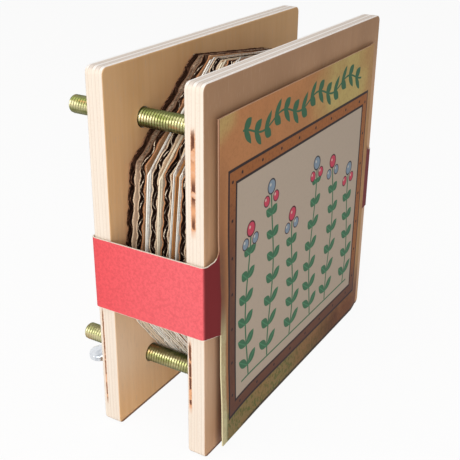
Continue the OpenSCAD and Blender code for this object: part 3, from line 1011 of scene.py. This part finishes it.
def fibrous(name, base, cut=None, low_corner_tone=None, upper_corner_shade=None):
    """Card or paper: soft fibres and flecks, paler towards the cut edges, with a tone for the lower
    cut corners and a painted shade for the upper ones."""
    f = Finish(name)
    where = f.place()
    fibres = f.noise(f.stretched(where, (900, 900, 2600)), 1, 3, 0.65)
    clouds = f.noise(where, 90, 2, 0.5)
    flecks = f.step(f.noise(where, 2400, 1, 0.5), 0.66, 0.78)
    tone = f.mix(f.step(fibres * 0.6 + clouds * 0.4, 0.35, 0.7), base, shade(base, 0.82))
    tone = f.mix(flecks * 0.25, tone, shade(base, 0.6))
    if cut is not None:
        tone = f.mix(f.stored("cut") * f.step(fibres, 0.35, 0.6), tone, cut)
    if low_corner_tone is not None:
        tone = f.mix(low_cuts(f, where) * f.step(fibres, 0.25, 0.5), tone, low_corner_tone)
    if upper_corner_shade is not None:
        tone = f.mix(high_cuts(f, where) * f.step(fibres, 0.3, 0.7), tone, upper_corner_shade)
    f.set(Base_Color=tone, Roughness=0.9, Specular_IOR_Level=0.12)
    f.bump(fibres, 0.05 * MM, 0.7)
    return f.material


def torn_edge(name, light, dark, cover, low_corner_tone=None, upper_corner_shade=None, relief=0.07 * MM):
    """The cut edge of a card: bright torn fibres over duller ones, cover being the bright
    share, with a tone for the lower cut corners and a painted shade for the upper ones."""
    f = Finish(name)
    where = f.place()
    torn = f.noise(where, 900, 3, 0.7)
    fuzz = f.noise(where, 3400, 2, 0.6)
    tone = f.mix(f.step(torn, 0.34 + cover * 0.3, 0.44 + cover * 0.3), light, dark)
    tone = f.mix(f.step(fuzz, 0.5, 0.7) * 0.35, tone, dark)
    if upper_corner_shade is not None:
        tone = f.mix(high_cuts(f, where) * 0.9, tone, upper_corner_shade)
    tone = f.mix(f.stored("cut"), dark, tone)
    if low_corner_tone is not None:
        tone = f.mix(low_cuts(f, where), tone, low_corner_tone)
    f.set(Base_Color=tone, Roughness=0.95, Specular_IOR_Level=0.08)
    f.bump(torn + fuzz, relief, 0.8)
    return f.material


def sheet_mesh(name, sheets):
    """One mesh from several closed sheets, given as front, back, their three finishes and, if
    some of the cut edge is dull, how bright it is at each point."""
    points, faces, finishes, cut = [], [], [], []
    count = 0
    for front, back, numbers, *bright in sheets:
        some, quads, sides = plate(front, back)
        points.append(some)
        faces += (np.array(quads) + count).tolist()
        finishes.append(np.array(numbers)[sides])
        count += len(some)
        mask = bright[0].copy() if bright else np.ones(front.shape[:2])
        mask[1:-1, 1:-1] = 0
        cut += [mask.ravel(), mask.ravel()]
    mesh = make_mesh(name, np.concatenate(points), faces, sharp_angle=50,
                     groups=np.concatenate(finishes))
    mesh.attributes.new("cut", "FLOAT", "POINT").data.foreach_set("value", np.concatenate(cut))
    return mesh


def from_cut(along):
    """How near each point of a grid is to the side cuts: 1 on a cut, soon falling to 0."""
    inwards = np.minimum(along - along[:, :1], along[:, -1:] - along)
    return np.exp(-inwards / CRUSH_REACH)


def flute_phase(along, up, seed, looks):
    """How far the wave of a card's middle has run at a place: uneven flutes."""
    phase = up / looks.flute_pitch * 2 * math.pi + seed
    return phase + 0.55 * np.sin(up * 210 + seed) + 0.25 * np.sin(along * 160 + up * 90 + seed)


def flute_wave(along, up, seed, looks):
    """The wave itself, from -1 to 1, with flutes that lean to one side."""
    phase = flute_phase(along, up, seed, looks)
    return np.sin(phase + 0.45 * np.sin(phase + 0.6))


def stroke_light(along, up, seed, looks):
    """How bright the cut edge of the middle is: a short torn stroke here and there, bright on some
    half flutes and dull on others, partly torn fibres and partly painted light and shade on the
    two sides of a flute.
    """
    halves = flute_phase(along, up, seed, looks) / math.pi + 0.5
    number = np.floor(halves - halves.min()).astype(int)
    light = np.random.default_rng(seed + 50).random(number.max() + 1) ** 2
    fade = np.sin(math.pi * (halves - halves.min() - number)) ** 0.8
    return np.clip(light[number] * (0.2 + 1.4 * fade), 0.03, 1)


def liner(outline, y, dent, seed, wave_seed, looks):
    """A flat face of a card, frayed along its cuts and dented there between the flutes; dent is
    1 where it may give way along +Y and -1 along -Y."""
    along, up = outline.grid(outline.heights(LINER_ROW), column_shares(LINER_COLUMNS))
    away = np.clip(flute_wave(along, up, wave_seed, looks) * dent, 0, 1)
    y = y + dent * looks.dent * away * from_cut(along)
    along, up = frayed(along, up, seed, looks.fray)
    front = swayed(outline.world(along, up, y), looks.sway)
    return front, front + np.array([0, looks.face_t, 0])


def fluted_middle(outline, y_low, y_high, seed, looks):
    """The wavy middle of a card, a little crushed along its cuts."""
    rows = outline.heights(looks.flute_pitch / ROWS_PER_FLUTE)
    along, up = outline.grid(rows, column_shares(FLUTE_COLUMNS))
    wave = flute_wave(along, up, seed, looks)
    crush = 1 - from_cut(along) * (0.12 + 0.12 * np.sin(up * 700 + seed * 3))
    along, up = frayed(along, up, seed, looks.fray * 1.6)
    reach = (y_high - y_low - looks.wave_t) / 2 - CREST_GAP
    middle = (y_low + y_high - looks.wave_t) / 2
    front = swayed(outline.world(along, up, middle + reach * wave * crush), looks.sway)
    return front, front + np.array([0, looks.wave_t, 0]), stroke_light(along, up, seed, looks)


def card_finishes(looks):
    """The finishes of the cards by name: faces, middles and cut edges."""
    low_corner_pale, white = looks.low_corner_pale, looks.white
    return {
        "brown_face": fibrous("card_brown", looks.card, looks.cut, low_corner_pale),
        "pale_face": fibrous("card_pale", looks.pale, looks.cut, low_corner_pale),
        "shaded_face": fibrous("card_pale_shaded", looks.pale, looks.cut, low_corner_pale, looks.upper_corner_shade),
        # The middles, and the dark between the flute strokes, take the inside colour: painted shade
        # of the deep flutes
        "middle": fibrous("card_inside", looks.inside, None, low_corner_pale),
        "upper_shaded_middle": fibrous("card_middle_upper_shade", looks.inside, None, low_corner_pale, looks.upper_corner_shade),
        "flutes": torn_edge("flute_cut", looks.cut, looks.inside, 0.5, white),
        # Painted shade: the rearmost card's flutes and back cut edge are drawn dull and dark all
        # over, standing in for the shade on that layer
        "shaded_flutes": torn_edge("flute_cut_shaded", looks.dark_fibres_and_shade, looks.inside, 0.35, looks.cut,
                                 looks.inside),
        "pale_cut": torn_edge("card_cut_pale", looks.pale, looks.dark_fibres_and_shade, 0.75, white),
        "brown_cut": torn_edge("card_cut_brown", looks.cut_brown, looks.dark_fibres_and_shade, 0.7, white),
        "shaded_cut": torn_edge("card_cut_shaded", looks.dark_fibres_and_shade, looks.inside, 0.35, white),
        # dim_cut: a pale cut edge with painted shade at the upper cut corners
        "dim_cut": torn_edge("card_cut_dim", looks.pale, looks.dark_fibres_and_shade, 0.7, looks.cut,
                             looks.upper_corner_shade),
    }


class PRESS_OT_cards(bpy.types.Operator):
    """Makes the corrugated cards: two liners with a wavy middle between them"""

    bl_idname = "press.cards"
    bl_label = "Make the cards"

    def execute(self, context):
        looks = context.scene.press_stack
        finishes = card_finishes(looks)
        for number, (node, names) in enumerate(zip(CARDS, CARD_PARTS)):
            low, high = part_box(node)
            outline = Outline(node, low.y, high.y)
            start, end = low.y + looks.room, high.y - looks.room
            inner_low, inner_high = start + looks.face_t, end - looks.face_t
            seed = 20 + 10 * number
            front = liner(outline, start, 1, seed, seed + 1, looks)
            *middle, light = fluted_middle(outline, inner_low, inner_high, seed + 1, looks)
            back = liner(outline, inner_high, -1, seed + 3, seed + 1, looks)
            mesh = sheet_mesh(f"card_{number + 1}", [
                (*front, (FRONT, MIDDLE, FRONT_CUT)),
                (*middle, (MIDDLE, MIDDLE, FLUTES), light),
                (*back, (MIDDLE, BACK, BACK_CUT))])
            add_piece(f"card_{number + 1}", mesh, node, "corrugated_board", [node],
                      [finishes[name] for name in ("brown_face", *names)])
        return {"FINISHED"}


def paper_leaves(node, looks):
    """The two papers of a pair, each on its own outline, with slightly wavy edges."""
    low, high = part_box(node)
    start, end = low.y + looks.room, high.y - looks.room
    middle = (low.y + high.y) / 2
    thickness = (end - start - looks.leaf_gap) / 2
    for k in (0, 1):
        y = start if k == 0 else end - thickness
        outline = Outline(node, *((low.y, middle) if k == 0 else (middle, high.y)))
        along, up = outline.grid(outline.heights(PAPER_ROW), column_shares(PAPER_COLUMNS))
        lift = (k * 2 - 1) * looks.ripple * from_cut(along) * (
            0.5 + 0.5 * np.sin(up * 170 + 2.3 * k + y * 900))
        along, up = frayed(along, up, 7 + 5 * k, looks.fray * 0.2)
        front = swayed(outline.world(along, up, y + lift), looks.sway)
        yield front, front + np.array([0, thickness, 0]), (0, 0, 2 - k)


def paper_finishes(name, tone, looks):
    """The finishes of a pair of papers: their faces, with painted shade, and the cut edges of the
    two, one of them a darker copy as painted shade.
    """
    relief = 0.03 * MM
    # Painted shade: the faces at 0.8 of the paper's tone with card brown at the upper cut corners,
    # and the grey cut edge a shaded copy of the bright one
    return (fibrous(name, shade(tone, 0.8), None, None, looks.card),
            torn_edge(f"{name}_cut", tone, shade(tone, 0.84), 0.8, looks.white, relief=relief),
            torn_edge(f"{name}_cut_in_shade", shade(tone, 0.7), shade(tone, 0.5), 0.6, looks.white,
                      relief=relief))


class PRESS_OT_papers(bpy.types.Operator):
    """Makes the pairs of blotting papers and the kraft papers"""

    bl_idname = "press.papers"
    bl_label = "Make the papers"

    def execute(self, context):
        looks = context.scene.press_stack
        tones = {"blotting_paper": looks.white, "cream_paper": looks.cream,
                 "kraft_paper": looks.kraft}
        slots = {part["node"]: part["material_slot"] for part in frame["record"]["subparts"]}
        finishes = {slot: paper_finishes(slot, tone, looks) for slot, tone in tones.items()}
        for node in PAPERS:
            mesh = sheet_mesh(f"{node}_sheets", list(paper_leaves(node, looks)))
            add_piece(f"{node}_sheets", mesh, node, slots[node], [node], finishes[slots[node]])
        return {"FINISHED"}


# Paper sleeve


def sleeve_path(looks):
    """The band's middle line seen from above, from the inner to the outer end at the back."""
    t, r = looks.thickness, looks.fold_r + looks.thickness / 2
    x = SLEEVE[1].x - t / 2
    back = SLEEVE[1].y - 1.5 * t
    half = looks.overlap / 2
    near, far = front_line(-x), front_line(x)
    path = [(half, back), (0, back), (-half, back), (-20 * MM, back), (-40 * MM, back)]
    path += arc((-x + r, back - r), r, 90, 180, 6)
    path += [(-x, y) for y in np.linspace(back - r, near + r, 12)[1:-1]]
    path += arc((-x + r, near + r), r, 180, 265, 6)
    path += [(column, front_line(column)) for column in PANEL_COLUMNS]
    path += arc((x - r, far + r), r, 275, 360, 6)
    path += [(x, y) for y in np.linspace(far + r, back - r, 12)[1:-1]]
    path += arc((x - r, back - r), r, 0, 90, 6)
    path += [(40 * MM, back), (20 * MM, back), (half + 3 * MM, back)]
    path += [(half + 1.5 * MM, back + t / 2), (half, back + t), (0, back + t), (-half, back + t)]
    return np.array(path)


def front_line(x):
    """Where the sleeve's middle line runs along Y at a place across the front."""
    return np.interp(x, FRONT_PLACES, SLEEVE[0].y + FRONT_DEPTHS)


def panel_patch(heights, looks, keep_fillets):
    """Rows of the front panel above or below the band."""
    rows = []
    for z in heights:
        above = z - looks.band_high
        reach = 0
        if keep_fillets and above < FILLET:
            reach = 1 - math.sqrt(max(0, 1 - (1 - above / FILLET) ** 2))
        row = [math.copysign(PANEL_HALF + (abs(x) - PANEL_HALF) * reach, x)
               if abs(x) > PANEL_HALF else x for x in PANEL_COLUMNS]
        rows.append([(x, front_line(x), z) for x in row])
    return np.array(rows)


def worn_corner(points, size):
    """Rounds the panel's lower right corner."""
    moved = points.copy()
    out = points[:, 0] - (PANEL_HALF - size)
    down = SLEEVE[0].z + size - points[:, 2]
    here = (out > 0) & (down > 0) & (points[:, 1] < FRONT_BOARD[0].y)
    share_kept = np.maximum(out, down) / np.maximum(np.hypot(out, down), 1e-9)
    moved[:, 0] = np.where(here, PANEL_HALF - size + out * share_kept, points[:, 0])
    moved[:, 2] = np.where(here, SLEEVE[0].z + size - down * share_kept, points[:, 2])
    return moved


def lifted(points, looks):
    """Curls the panel's left edge away from the board, most at its lower corner, and tilts
    the whole sleeve a little."""
    x, z = points[:, 0], points[:, 2]
    front = points[:, 1] < FRONT_BOARD[0].y
    start = np.interp(z, CURL_HEIGHTS, CURL_STARTS)
    bend = np.clip((start - x) / (start + PANEL_HALF), 0, 1) ** 2
    strip = np.clip((-x - PANEL_HALF) / (FILLET + 0.4 * MM), 0, 1)
    off = looks.lift * np.interp(z, LIFT_HEIGHTS, LIFT_SHARES) * bend * (1 - strip)
    near = np.clip((-x - 30 * MM) / (25 * MM), 0, 1) ** 2
    foot = near * np.clip(1 - z / (40 * MM), 0, 1)
    moved = points.copy()
    moved[:, 1] -= np.where(front, off, 0)
    moved[:, 2] += np.where(front, CORNER_RISE * foot, 0)
    c, s = math.cos(looks.tilt), math.sin(looks.tilt)
    middle = (looks.band_low + looks.band_high) / 2
    across, up = moved[:, 0].copy(), moved[:, 2] - middle
    moved[:, 0] = across * c - up * s
    moved[:, 2] = middle + across * s + up * c
    return moved


def sleeve_sheet(looks):
    """The band and the panel above and below it, as one open sheet without thickness."""
    low, high, foot, top = looks.band_low, looks.band_high, SLEEVE[0].z, SLEEVE[1].z
    inner_rows = np.linspace(low, high, 13)[1:-1]
    rows = [low, low + CUT_WIDTH, *inner_rows, high - CUT_WIDTH, high]
    band = np.array([[(x, y, z) for x, y in sleeve_path(looks)] for z in rows])
    upper = np.array([*np.linspace(high, high + FILLET, 7)[:-1],
                      *np.linspace(high + FILLET, top - CUT_WIDTH, 19), top])
    lower = np.array([foot, *(foot + np.array([0.35, 0.9, 1.5, 2.2]) * MM),
                      *np.linspace(foot + 3 * MM, low, 22)])
    grids = (band, panel_patch(upper, looks, True), panel_patch(lower, looks, False))
    points, faces = join([(grid.reshape(-1, 3), grid_faces(*grid.shape[:2]).tolist())
                          for grid in grids])
    points, faces = welded(points, on_sleeve(points, faces, looks), closed=False)
    return lifted(worn_corner(np.array(points), WORN_CORNER), looks), faces


def on_sleeve(points, faces, looks):
    """The faces without those below the band that would lie outside the panel."""
    kept = []
    for face in faces:
        corners = points[face]
        below = corners[:, 2].max() <= looks.band_low + TOUCH
        outside = np.abs(corners[:, 0]).max() > PANEL_HALF + TOUCH
        if not (below and outside):
            kept.append(face)
    return kept


def mark_rim(mesh):
    """Stores for each point whether it lies on the sheet's outline."""
    graph = bmesh.new()
    graph.from_mesh(mesh)
    rim = [float(v.is_boundary) for v in graph.verts]
    graph.free()
    mesh.attributes.new("rim", "FLOAT", "POINT").data.foreach_set("value", rim)


def on_front(y):
    """1 on what lies before the front board, from a place in millimetres."""
    front = FRONT_BOARD[0].y * TO_MM
    return y.finish.fall(y, front - 0.5, front + 0.3)


def on_panel(x, y):
    """1 on the front panel, from places in millimetres."""
    half = PANEL_HALF * TO_MM
    return on_front(y) * x.finish.fall(abs(x), half + 0.8, half + 1.4)


class PrintedCard(Finish):
    """The sleeve's printed side, drawn in millimetres that follow its tilt."""

    def __init__(self, looks):
        super().__init__("printed_card")
        self.looks = looks
        self.where = self.place()
        self.x, self.y, z = [part * TO_MM for part in self.parts(self.where)]
        self.z = z - self.x * math.sin(looks.tilt)
        self.mottle = self.noise(self.where, 900, 3, 0.65)
        self.clouds = self.noise(self.where, 60, 3, 0.5)

    def wash(self):
        """Water colours: orange with olive pools at the top, moss and umber along the foot, and
        painted shade on the left margin.
        """
        x, z, looks, drift = self.x, self.z, self.looks, self.clouds - 0.5
        pools = [self.fall(self.length(x - px, z - pz) + drift * 22, size * 0.3, size) * strength
                 for px, pz, size, strength in OLIVE_POOLS]
        wash = self.mix(self.larger(*pools), looks.orange, looks.olive)
        wash = self.mix(self.step(x, -30, 60) * 0.3, wash, looks.olive)
        # Painted shade: the left margin darker from about 100 mm down, most below 64 mm, where the
        # panel bends back towards the band's fold
        dim = self.fall(z, 84, 104) * 0.3 + self.fall(z, 64, 84) * 0.5
        wash = self.mix(self.fall(x, -54, -49) * dim, wash, looks.strip_dark)
        low = self.fall(z + drift * 16, 6, 26)
        tufts = self.noise(self.point(x * 0.75, self.y, z * 0.5), 1, 3, 0.7)
        moss = self.mix(self.step(tufts, 0.48, 0.58) * 0.75, looks.moss, looks.tuft)
        wash = self.mix(low, wash, self.mix(self.step(x, -20, 45), moss, looks.umber))
        margin = self.fall(x + drift * 2, -52.4, -50.8) * self.fall(z, 36, 56)
        wash = self.mix(margin * 0.85, wash, looks.floor_light_and_pale_olive)
        stain = self.step(self.clouds, 0.42, 0.62) * 0.3
        wash = self.mix(stain, wash, shade(looks.orange, 0.7))
        return self.mix(self.step(self.mottle, 0.42, 0.7) * 0.3, wash, shade(looks.orange, 0.66))

    def border(self, paint, out, run):
        """Draws the border on the paint: a strip with a row of dots between two ink lines; out
        is how far a place lies outside it, and run how far along it."""
        looks = self.looks
        dot = self.length(run % DOT_STEP - DOT_STEP / 2, out + 2.6)
        dots = self.fall(dot, 0.35, 0.7)
        outer_line = self.fall(abs(out + 0.4), 0.35, 0.6)
        inner_line = self.fall(abs(out + 4.9), 0.45, 0.7)
        strip = self.fall(out, -0.5, -0.3)
        left = self.fall(self.x + (self.clouds - 0.5) * 12, -48, -38) * self.fall(self.z, 60, 96)
        deep = self.larger(left, self.fall(self.z, 10, 34))
        tone = self.mix(deep * 0.9, looks.strip, looks.strip_dark)
        tone = self.mix(self.step(self.mottle, 0.45, 0.7) * 0.4, tone, looks.strip_dark)
        paint = self.mix(strip, paint, tone)
        ink = self.larger(self.larger(outer_line, inner_line), dots * strip)
        return self.mix(ink, paint, looks.ink)

    def leaves(self, paint, side, top):
        """Draws the stems and their pairs of leaves; side is how far a place lies beside its
        stem, and top how high the stem goes."""
        z, foot, across = self.z, SPRIG_FOOT, abs(side)
        rise = (z - foot) / (top - foot)
        on_stem = self.step(z, foot - 3, foot - 2) * self.fall(z, top, top + 0.4)
        stem = self.fall(across, 0.3, 0.5) * on_stem
        step_up = (z - foot) % LEAF_STEP - 1
        c, s = math.cos(LEAF_SLOPE), math.sin(LEAF_SLOPE)
        along = across * c + step_up * s
        off = abs(step_up * c - across * s)
        size = 7.4 - rise * 3
        belly = along * (size - along) / (size * size) * 7.2
        blade = self.step(belly - off, 0, 0.25) * self.step(z, foot, foot + 0.2)
        blade = blade * self.fall(z, top - 3, top - 2.6)
        vein = self.fall(off, 0.1, 0.28) * blade
        tone = self.mix(vein * 0.6, self.looks.leaf, shade(self.looks.leaf, 1.9))
        return self.mix(self.larger(stem, blade), paint, tone)

    def berries(self, paint, side, above, odd):
        """Draws the berries at each stem's top, pink and blue by turns."""
        covered, tone = None, None
        for across, up, radius, swapped in BERRIES:
            from_middle = self.length(side - across, above - up) / radius
            disc = self.fall(from_middle, 0.9, 1)
            ring = self.step(from_middle, 0.7, 0.85) * disc
            pink = (1 - odd) if swapped else odd
            skin = self.mix(pink, self.looks.blue, self.looks.berry)
            glint = self.length(side - across + 0.7, above - up - 0.7)
            skin = self.mix(self.fall(glint, 0.3, 0.7) * 0.6, skin, self.looks.core)
            skin = self.mix(ring, skin, self.looks.ink)
            tone = skin if tone is None else self.mix(disc, tone, skin)
            covered = disc if covered is None else self.larger(covered, disc)
        return self.mix(covered, paint, tone)

    def page(self):
        """The cream field inside the border, with a row of upright sprigs."""
        x, z, looks = self.x, self.z, self.looks
        index = self.floor(x / SPRIG_CELL)
        sway = self.sine(z * 0.11 + index * 2.1) * 1.3
        side = x - (index + 0.5) * SPRIG_CELL - sway
        top = self.sine(index * 2.4 + 0.6) * 8 + SPRIG_TOP
        grain = self.step(self.mottle, 0.45, 0.7) * 0.25
        page = self.mix(grain, looks.field, shade(looks.field, 0.86))
        page = self.leaves(page, side, top)
        ground = self.fall(abs(z - SPRIG_FOOT + 2.8), 0.25, 0.4) * self.fall(abs(x), 41, 41.2)
        page = self.mix(ground, page, looks.leaf)
        return self.berries(page, side, z - top, index % 2)

    def garland(self):
        """1 on the garland in the wash above the border."""
        line = self.sine(self.x * 0.26) * 1.6 + GARLAND_HEIGHT
        beat = self.x % 6 - 3
        height = abs(self.z - line)
        along = beat * 0.7 + height * 0.72 + 2.2
        off = abs(height * 0.7 - beat * 0.72 - 1.5)
        leaves = self.step(along * (6.4 - along) * 0.15 - off, 0, 0.25)
        drawn = self.larger(leaves, self.fall(height, 0.25, 0.45))
        return drawn * self.fall(abs(self.x), 42, 42.2) * self.step(self.z, 96, 96.5)

    def panel(self):
        """The panel: wash, border, page and garland."""
        out_x = abs(self.x) - BORDER_HALF
        out_z = abs(self.z - BORDER_MIDDLE) - BORDER_RISE
        upright = out_x > out_z
        out = self.larger(out_x, out_z)
        panel = self.border(self.wash(), out, self.x + (self.z - self.x) * upright)
        panel = self.mix(self.fall(out, -5.3, -5.1), panel, self.page())
        return self.mix(self.garland(), panel, shade(self.looks.leaf, 0.8))

    def band(self, front):
        """Coral on the sides and the back, and dark red on the front beside the panel."""
        looks = self.looks
        speckle = self.noise(self.where, 1000, 3, 0.75)
        red = self.mix(self.fall(self.y, -30, 30), looks.red, looks.red_pale)
        red = self.mix(self.step(speckle, 0.36, 0.66) * 0.38, red, shade(looks.red, 0.68))
        return self.mix(front, red, looks.red_dark)


def print_finish(looks):
    """The printed side of the sleeve, with painted contact shadow along its foot and worn edges."""
    f = PrintedCard(looks)
    front = on_front(f.y)
    paint = f.mix(front * f.fall(abs(f.x), 55, 55.2), f.band(front), f.panel())
    # Painted contact shadow in ink along the panel's foot, where it reaches down to the table
    up = f.z - SLEEVE[0].z * TO_MM
    painted_panel_foot_shadow = front * f.fall(up, 0.9, 1.6) * f.step(f.x, -45, -36)
    paint = f.mix(painted_panel_foot_shadow * 0.85, paint, looks.ink)
    # The white core shows through the print at the cut edges
    fibres = f.noise(f.where, 1300, 3, 0.6)
    worn = f.step(f.stored("rim") + (fibres - 0.5) * 0.9, 0.45, 0.85)
    worn = worn * (0.75 - on_panel(f.x, f.y) * 0.5)
    paint = f.mix(worn, paint, looks.core)
    f.set(Base_Color=paint, Roughness=0.55 + f.mottle * 0.15, Specular_IOR_Level=0.15)
    f.bump(fibres * 0.6 + f.mottle, 0.03 * MM, 0.6)
    return f.material


def plain_card(name, tone, low_stain=None, stain=None):
    """Unprinted card with a soft tooth, and colours that stain the panel's edges."""
    f = Finish(name)
    where = f.place()
    tooth = f.noise(where, 1500, 3, 0.6)
    paint = f.mix(f.step(tooth, 0.4, 0.7) * 0.4, tone, shade(tone, 0.85))
    if stain is not None:
        x, y, z = [part * TO_MM for part in f.parts(where)]
        run = f.mix(f.step(z, 34, 70), low_stain, stain)
        paint = f.mix(on_panel(x, y) * 0.85, paint, run)
    f.set(Base_Color=paint, Roughness=0.85, Specular_IOR_Level=0.2)
    f.bump(tooth, 0.02 * MM, 0.6)
    return f.material


class PRESS_OT_sleeve(bpy.types.Operator):
    """Makes the sleeve: a printed panel with a belly band folded round the boards"""

    bl_idname = "press.sleeve"
    bl_label = "Make the sleeve"

    def execute(self, context):
        looks = context.scene.press_sleeve
        sheet = make_mesh("raw_sleeve", *sleeve_sheet(looks), sharp_angle=180)
        mark_rim(sheet)
        for material in (print_finish(looks), plain_card("sleeve_inside", looks.inside),
                         plain_card("sleeve_core", looks.core, looks.floor_light_and_pale_olive,
                                    shade(looks.orange, 0.7))):
            sheet.materials.append(material)
        raw = in_scene("raw_sleeve", sheet)
        solid = raw.modifiers.new("card", "SOLIDIFY")
        solid.thickness = looks.thickness
        solid.offset = 0
        solid.use_even_offset = True
        solid.material_offset = 1
        solid.material_offset_rim = 2
        mesh = applied(raw)
        mesh.set_sharp_from_angle(angle=math.radians(50))
        add_piece("printed_sleeve", mesh, "paper_sleeve", "printed_card", ["paper_sleeve"])
        return {"FINISHED"}


# Stage


def white_floor(looks):
    """A pale floor that keeps the shadow and shows nearly white to the camera."""
    f = Finish("white_floor")
    f.set(Base_Color=looks.floor, Roughness=0.9, Specular_IOR_Level=0.1)
    glow = f.node("ShaderNodeEmission", None, {"Color": WHITE, "Strength": 1.0})
    f.shown(f.node("ShaderNodeMixShader", None, {
        0: f.seen() * looks.floor_glow, 1: Socket(f, f.surface.outputs[0]), 2: glow}))
    return f.material


def white_sky(looks):
    """Soft light all round, and a white background for the camera and for reflections."""
    world = bpy.data.worlds.new("studio")
    f = Shading(world)
    soft = f.node("ShaderNodeBackground", None, {"Color": WHITE, "Strength": looks.sky})
    bright = f.node("ShaderNodeBackground", None, {"Color": WHITE, "Strength": 1.0})
    mixed = f.node("ShaderNodeMixShader", None, {0: f.seen(), 1: soft, 2: bright})
    f.node("ShaderNodeOutputWorld", None, {"Surface": mixed})
    return world


def soft_lamp(name, place, target, size, power):
    """A square lamp that looks at a point."""
    light = bpy.data.lights.new(name, "AREA")
    light.shape = "SQUARE"
    light.size = size
    light.energy = power
    lamp = in_scene(name, light)
    lamp.location = place
    lamp.rotation_mode = "QUATERNION"
    lamp.rotation_quaternion = (Vector(target) - Vector(place)).to_track_quat("-Z", "Y")


def camera_turn(yaw, pitch, roll):
    """The camera's rotation from where it looks: yaw from +Y to +X, pitch down, then roll."""
    forward = Vector((math.sin(yaw) * math.cos(pitch), math.cos(yaw) * math.cos(pitch),
                      -math.sin(pitch)))
    right = Vector((math.cos(yaw), -math.sin(yaw), 0))
    down = forward.cross(right)
    rolled_right = math.cos(roll) * right + math.sin(roll) * down
    rolled_down = -math.sin(roll) * right + math.cos(roll) * down
    return Matrix((rolled_right, -rolled_down, -forward)).transposed()


class PRESS_OT_stage(bpy.types.Operator):
    """Sets the floor, the soft lamps and the camera"""

    bl_idname = "press.stage"
    bl_label = "Set the stage"

    def execute(self, context):
        looks = context.scene.press_stage
        half = FLOOR_HALF
        mesh = make_mesh("floor", [(-half, -half, 0), (half, -half, 0), (half, half, 0),
                                   (-half, half, 0)], [[0, 1, 2, 3]])
        mesh.materials.append(white_floor(looks))
        floor = in_scene("floor", mesh)
        floor.location.z = CAD_BOX[0].z
        middle = (CAD_BOX[0] + CAD_BOX[1]) / 2
        for name, (place, size), power in (("key", KEY_LAMP, looks.key),
                                           ("top", TOP_LAMP, looks.top)):
            soft_lamp(name, place, middle, size, power)
        context.scene.world = white_sky(looks)
        data = bpy.data.cameras.new("camera")
        data.lens = looks.lens
        data.sensor_width = 36
        camera = in_scene("camera", data)
        turn = camera_turn(looks.yaw, looks.pitch, looks.roll).to_4x4()
        camera.matrix_world = Matrix.Translation(looks.camera_at) @ turn
        context.scene.camera = camera
        context.scene.view_settings.view_transform = "Standard"
        return {"FINISHED"}


class PRESS_PT_panel(bpy.types.Panel):
    """Lists the pieces of the press and their sizes and colours"""

    bl_label = "Flower press"
    bl_idname = "PRESS_PT_panel"
    bl_space_type = "VIEW_3D"
    bl_region_type = "UI"
    bl_category = "Flower press"

    def draw(self, context):
        for name, operators in STEPS:
            box = self.layout.box()
            for operator in operators:
                box.operator(operator.bl_idname)
            looks = getattr(context.scene, name)
            for key in looks.bl_rna.properties.keys():
                if key not in ("rna_type", "name"):
                    box.prop(looks, key)


STEPS = (
    ("press_stage", (PRESS_OT_stage,)),
    ("press_boards", (PRESS_OT_boards,)),
    ("press_bolts", (PRESS_OT_bolts,)),
    ("press_nuts", (PRESS_OT_washers, PRESS_OT_wing_nuts)),
    ("press_stack", (PRESS_OT_cards, PRESS_OT_papers)),
    ("press_sleeve", (PRESS_OT_sleeve,)),
)
OPERATORS = tuple(operator for name, operators in STEPS for operator in operators)
CLASSES = (*LOOKS.values(), *OPERATORS, PRESS_PT_panel)


def register():
    for cls in CLASSES:
        bpy.utils.register_class(cls)
    for name, group in LOOKS.items():
        setattr(bpy.types.Scene, name, PointerProperty(type=group))


def unregister():
    for name in LOOKS:
        delattr(bpy.types.Scene, name)
    for cls in reversed(CLASSES):
        bpy.utils.unregister_class(cls)


def main():
    register()
    for operator in OPERATORS:
        family, name = operator.bl_idname.split(".")
        getattr(getattr(bpy.ops, family), name)()


if __name__ == "__main__":
    main()
